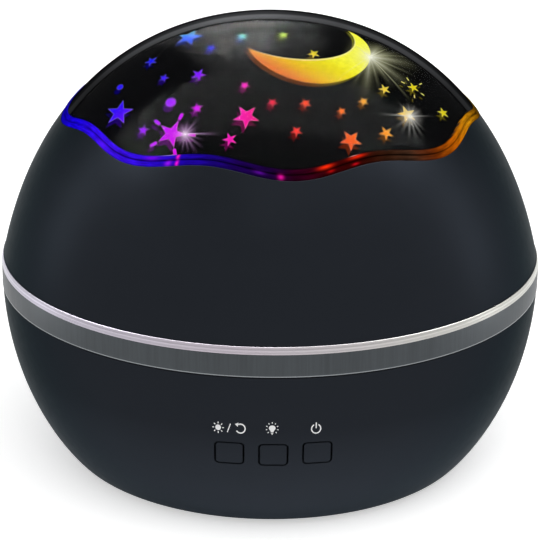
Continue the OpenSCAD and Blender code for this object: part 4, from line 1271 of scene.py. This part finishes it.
def make_symbols():
    """Sun, slash, turning arrow, bulb and power sign."""
    sun = Inlay(-11.0, 30.45)
    sun.shape(disc_outline(0.62, steps=28))
    sun.rays(0, 1.08, range(0, 360, 45), 0.42)
    sun.build("symbol_sun")
    slash = Inlay(-8.65)
    slash.bar(0, 0, 70, 2.1, 0.22)
    slash.build("symbol_slash")
    turn = Inlay(-6.1)
    turn.arc(0, 1.0, 0.28, -150, 120)
    turn.shape([(-0.45, 1.3), (-1.25, 0.95), (-0.62, 0.35)])
    turn.build("symbol_turn")
    bulb = Inlay(0.8)
    side = [(0.3, -0.6), (0.38, -0.3), (0.68, 0.05), (0.74, 0.3), (0.66, 0.58), (0.42, 0.8)]
    bulb.shape(side + [(0, 0.9)] + [(-x, y) for x, y in side[::-1]])
    bulb.bar(0, -0.82, 0, 0.56, 0.16)
    bulb.bar(0, -1.05, 0, 0.34, 0.18)
    bulb.rays(0.2, 1.26, range(-46, 227, 34), 0.34)
    bulb.build("symbol_bulb")
    power = Inlay(10.4)
    power.arc(-0.1, 1.0, 0.26, 118, 422)
    power.bar(0, 0.65, 90, 1.35, 0.26)
    power.build("symbol_power")


# ---------- Stage, light and camera ----------


def make_stage():
    """A pale floor that shows white to the eye and keeps the lamp's shadow."""
    half = 6.0
    corners = [(-half, -half, 0), (half, -half, 0), (half, half, 0), (-half, half, 0)]
    s = Surface("floor_white", base_color=(0.9, 0.9, 0.9, 1), roughness=0.9, specular_ior_level=0.0)
    s.shader.inputs["Emission Color"].default_value = (1, 1, 1, 1)
    s.set("Emission Strength", s.math("MULTIPLY", s.seen_share(), 0.5))
    new_object("floor", corners, [(0, 1, 2, 3)], slots=[s.material])


def make_world():
    """White where it is seen, and a little weaker where it lights the object."""
    world = bpy.data.worlds.new("studio")
    bpy.context.scene.world = world
    tree = Tree(world)
    background = tree.nodes["Background"].inputs
    tree.feed(background["Color"], (1, 1, 1, 1))
    tree.feed(background["Strength"], tree.reach(tree.seen_share(), 0, 1, 0.62))


def area_light(name, place, aim, size, power, seen_by_diffuse=True):
    """A rectangular lamp turned towards a point, itself unseen by the camera."""
    data = bpy.data.lights.new(name, "AREA")
    data.shape = "RECTANGLE"
    data.size, data.size_y = size
    data.energy = power
    light = bpy.data.objects.new(name, data)
    bpy.context.scene.collection.objects.link(light)
    light.location = place
    light.rotation_euler = (Vector(aim) - Vector(place)).to_track_quat("-Z", "Y").to_euler()
    light.visible_diffuse = seen_by_diffuse
    light.visible_camera = False
    return light


def shaded_card(name, place, aim, size, radiance, across, up):
    """A softbox seen only in gloss; across and up are (place on the card, share of the radiance)."""
    light = area_light(name, place, aim, size, radiance * pi * size[0] * size[1], seen_by_diffuse=False)
    tree = Tree(light.data)
    here = tree.xyz(tree.node("NewGeometry").outputs["Parametric"])
    shares = tree.times(tree.ramp(here["X"], across), tree.ramp(here["Y"], up))
    tree.feed(tree.nodes["Emission"].inputs["Color"], shares)


def make_lights():
    middle = (0, 0, 0.05)
    area_light("key", (0.25, -0.5, 1.3), middle, (1.4, 1.0), 9)
    shaded_card(
        "low_card", (-0.15, 1.5, 0.61), (-0.15, 0, 0.61), (0.7, 0.44), 72,
        [(0, 0.2), (0.14, 0.4), (0.26, 0.7), (0.5, 1), (0.6, 0.92), (0.71, 0.7), (0.79, 0.45), (0.86, 0.3),
         (0.97, 0.08)],
        [(0, 0.16), (0.25, 0.34), (0.72, 0.94), (1, 1)])
    shaded_card(
        "high_card", (-0.1, 1.04, 1.14), (-0.1, 0, 0.1), (0.8, 0.82), 85,
        [(0, 0.06), (0.1, 0.16), (0.16, 0.24), (0.26, 0.28), (0.325, 0.4), (0.375, 0.74), (0.42, 1),
         (0.5, 1), (0.62, 0.88), (0.72, 0.74), (0.78, 0.64), (0.85, 0.4), (0.94, 0.18), (1, 0.05)],
        [(0, 0.73), (0.25, 1), (0.47, 0.8), (0.75, 0.38), (1, 0.2)])
    shaded_card(
        "overhead_card", (0, 0.16, 1.02), (0, 0.16, 0), (2.6, 0.7), 26,
        [(0, 0.8), (0.12, 1), (0.25, 0.66)], [(0, 0.5), (0.3, 0.75), (1, 1)])
    for name, place in (("left_strip", (-1.1, 0.25, 0.35)), ("right_strip", (1.1, 0.15, 0.35))):
        area_light(name, place, middle, (0.32, 0.9), 3.0, seen_by_diffuse=False)


def make_camera():
    """Stands about 20 degrees over the widest plane and aims a little under the ball's middle."""
    distance, lens = 0.4928, 134.55
    elevation, aim_below, roll = radians(20.387), radians(0.494), radians(0.535)
    data = bpy.data.cameras.new("camera")
    data.sensor_width, data.lens, data.clip_start = 36, lens, 0.01
    camera = bpy.data.objects.new("camera", data)
    bpy.context.scene.collection.objects.link(camera)
    place = Vector((0, -distance * cos(elevation), z_mid + distance * sin(elevation)))
    tilt = Matrix.Rotation(pi / 2 - elevation - aim_below, 4, "X")
    camera.matrix_world = Matrix.Translation(place) @ tilt @ Matrix.Rotation(roll, 4, "Z")
    bpy.context.scene.camera = camera


make_camera()
make_base_shell()
make_buttons()
make_rings()
make_upper_shell()
make_wave_rim()
make_film()
make_stars()
make_moon()
make_glints()
make_dome()
make_symbols()
make_stage()
make_world()
make_lights()

bpy.context.scene.view_settings.view_transform = "Standard"
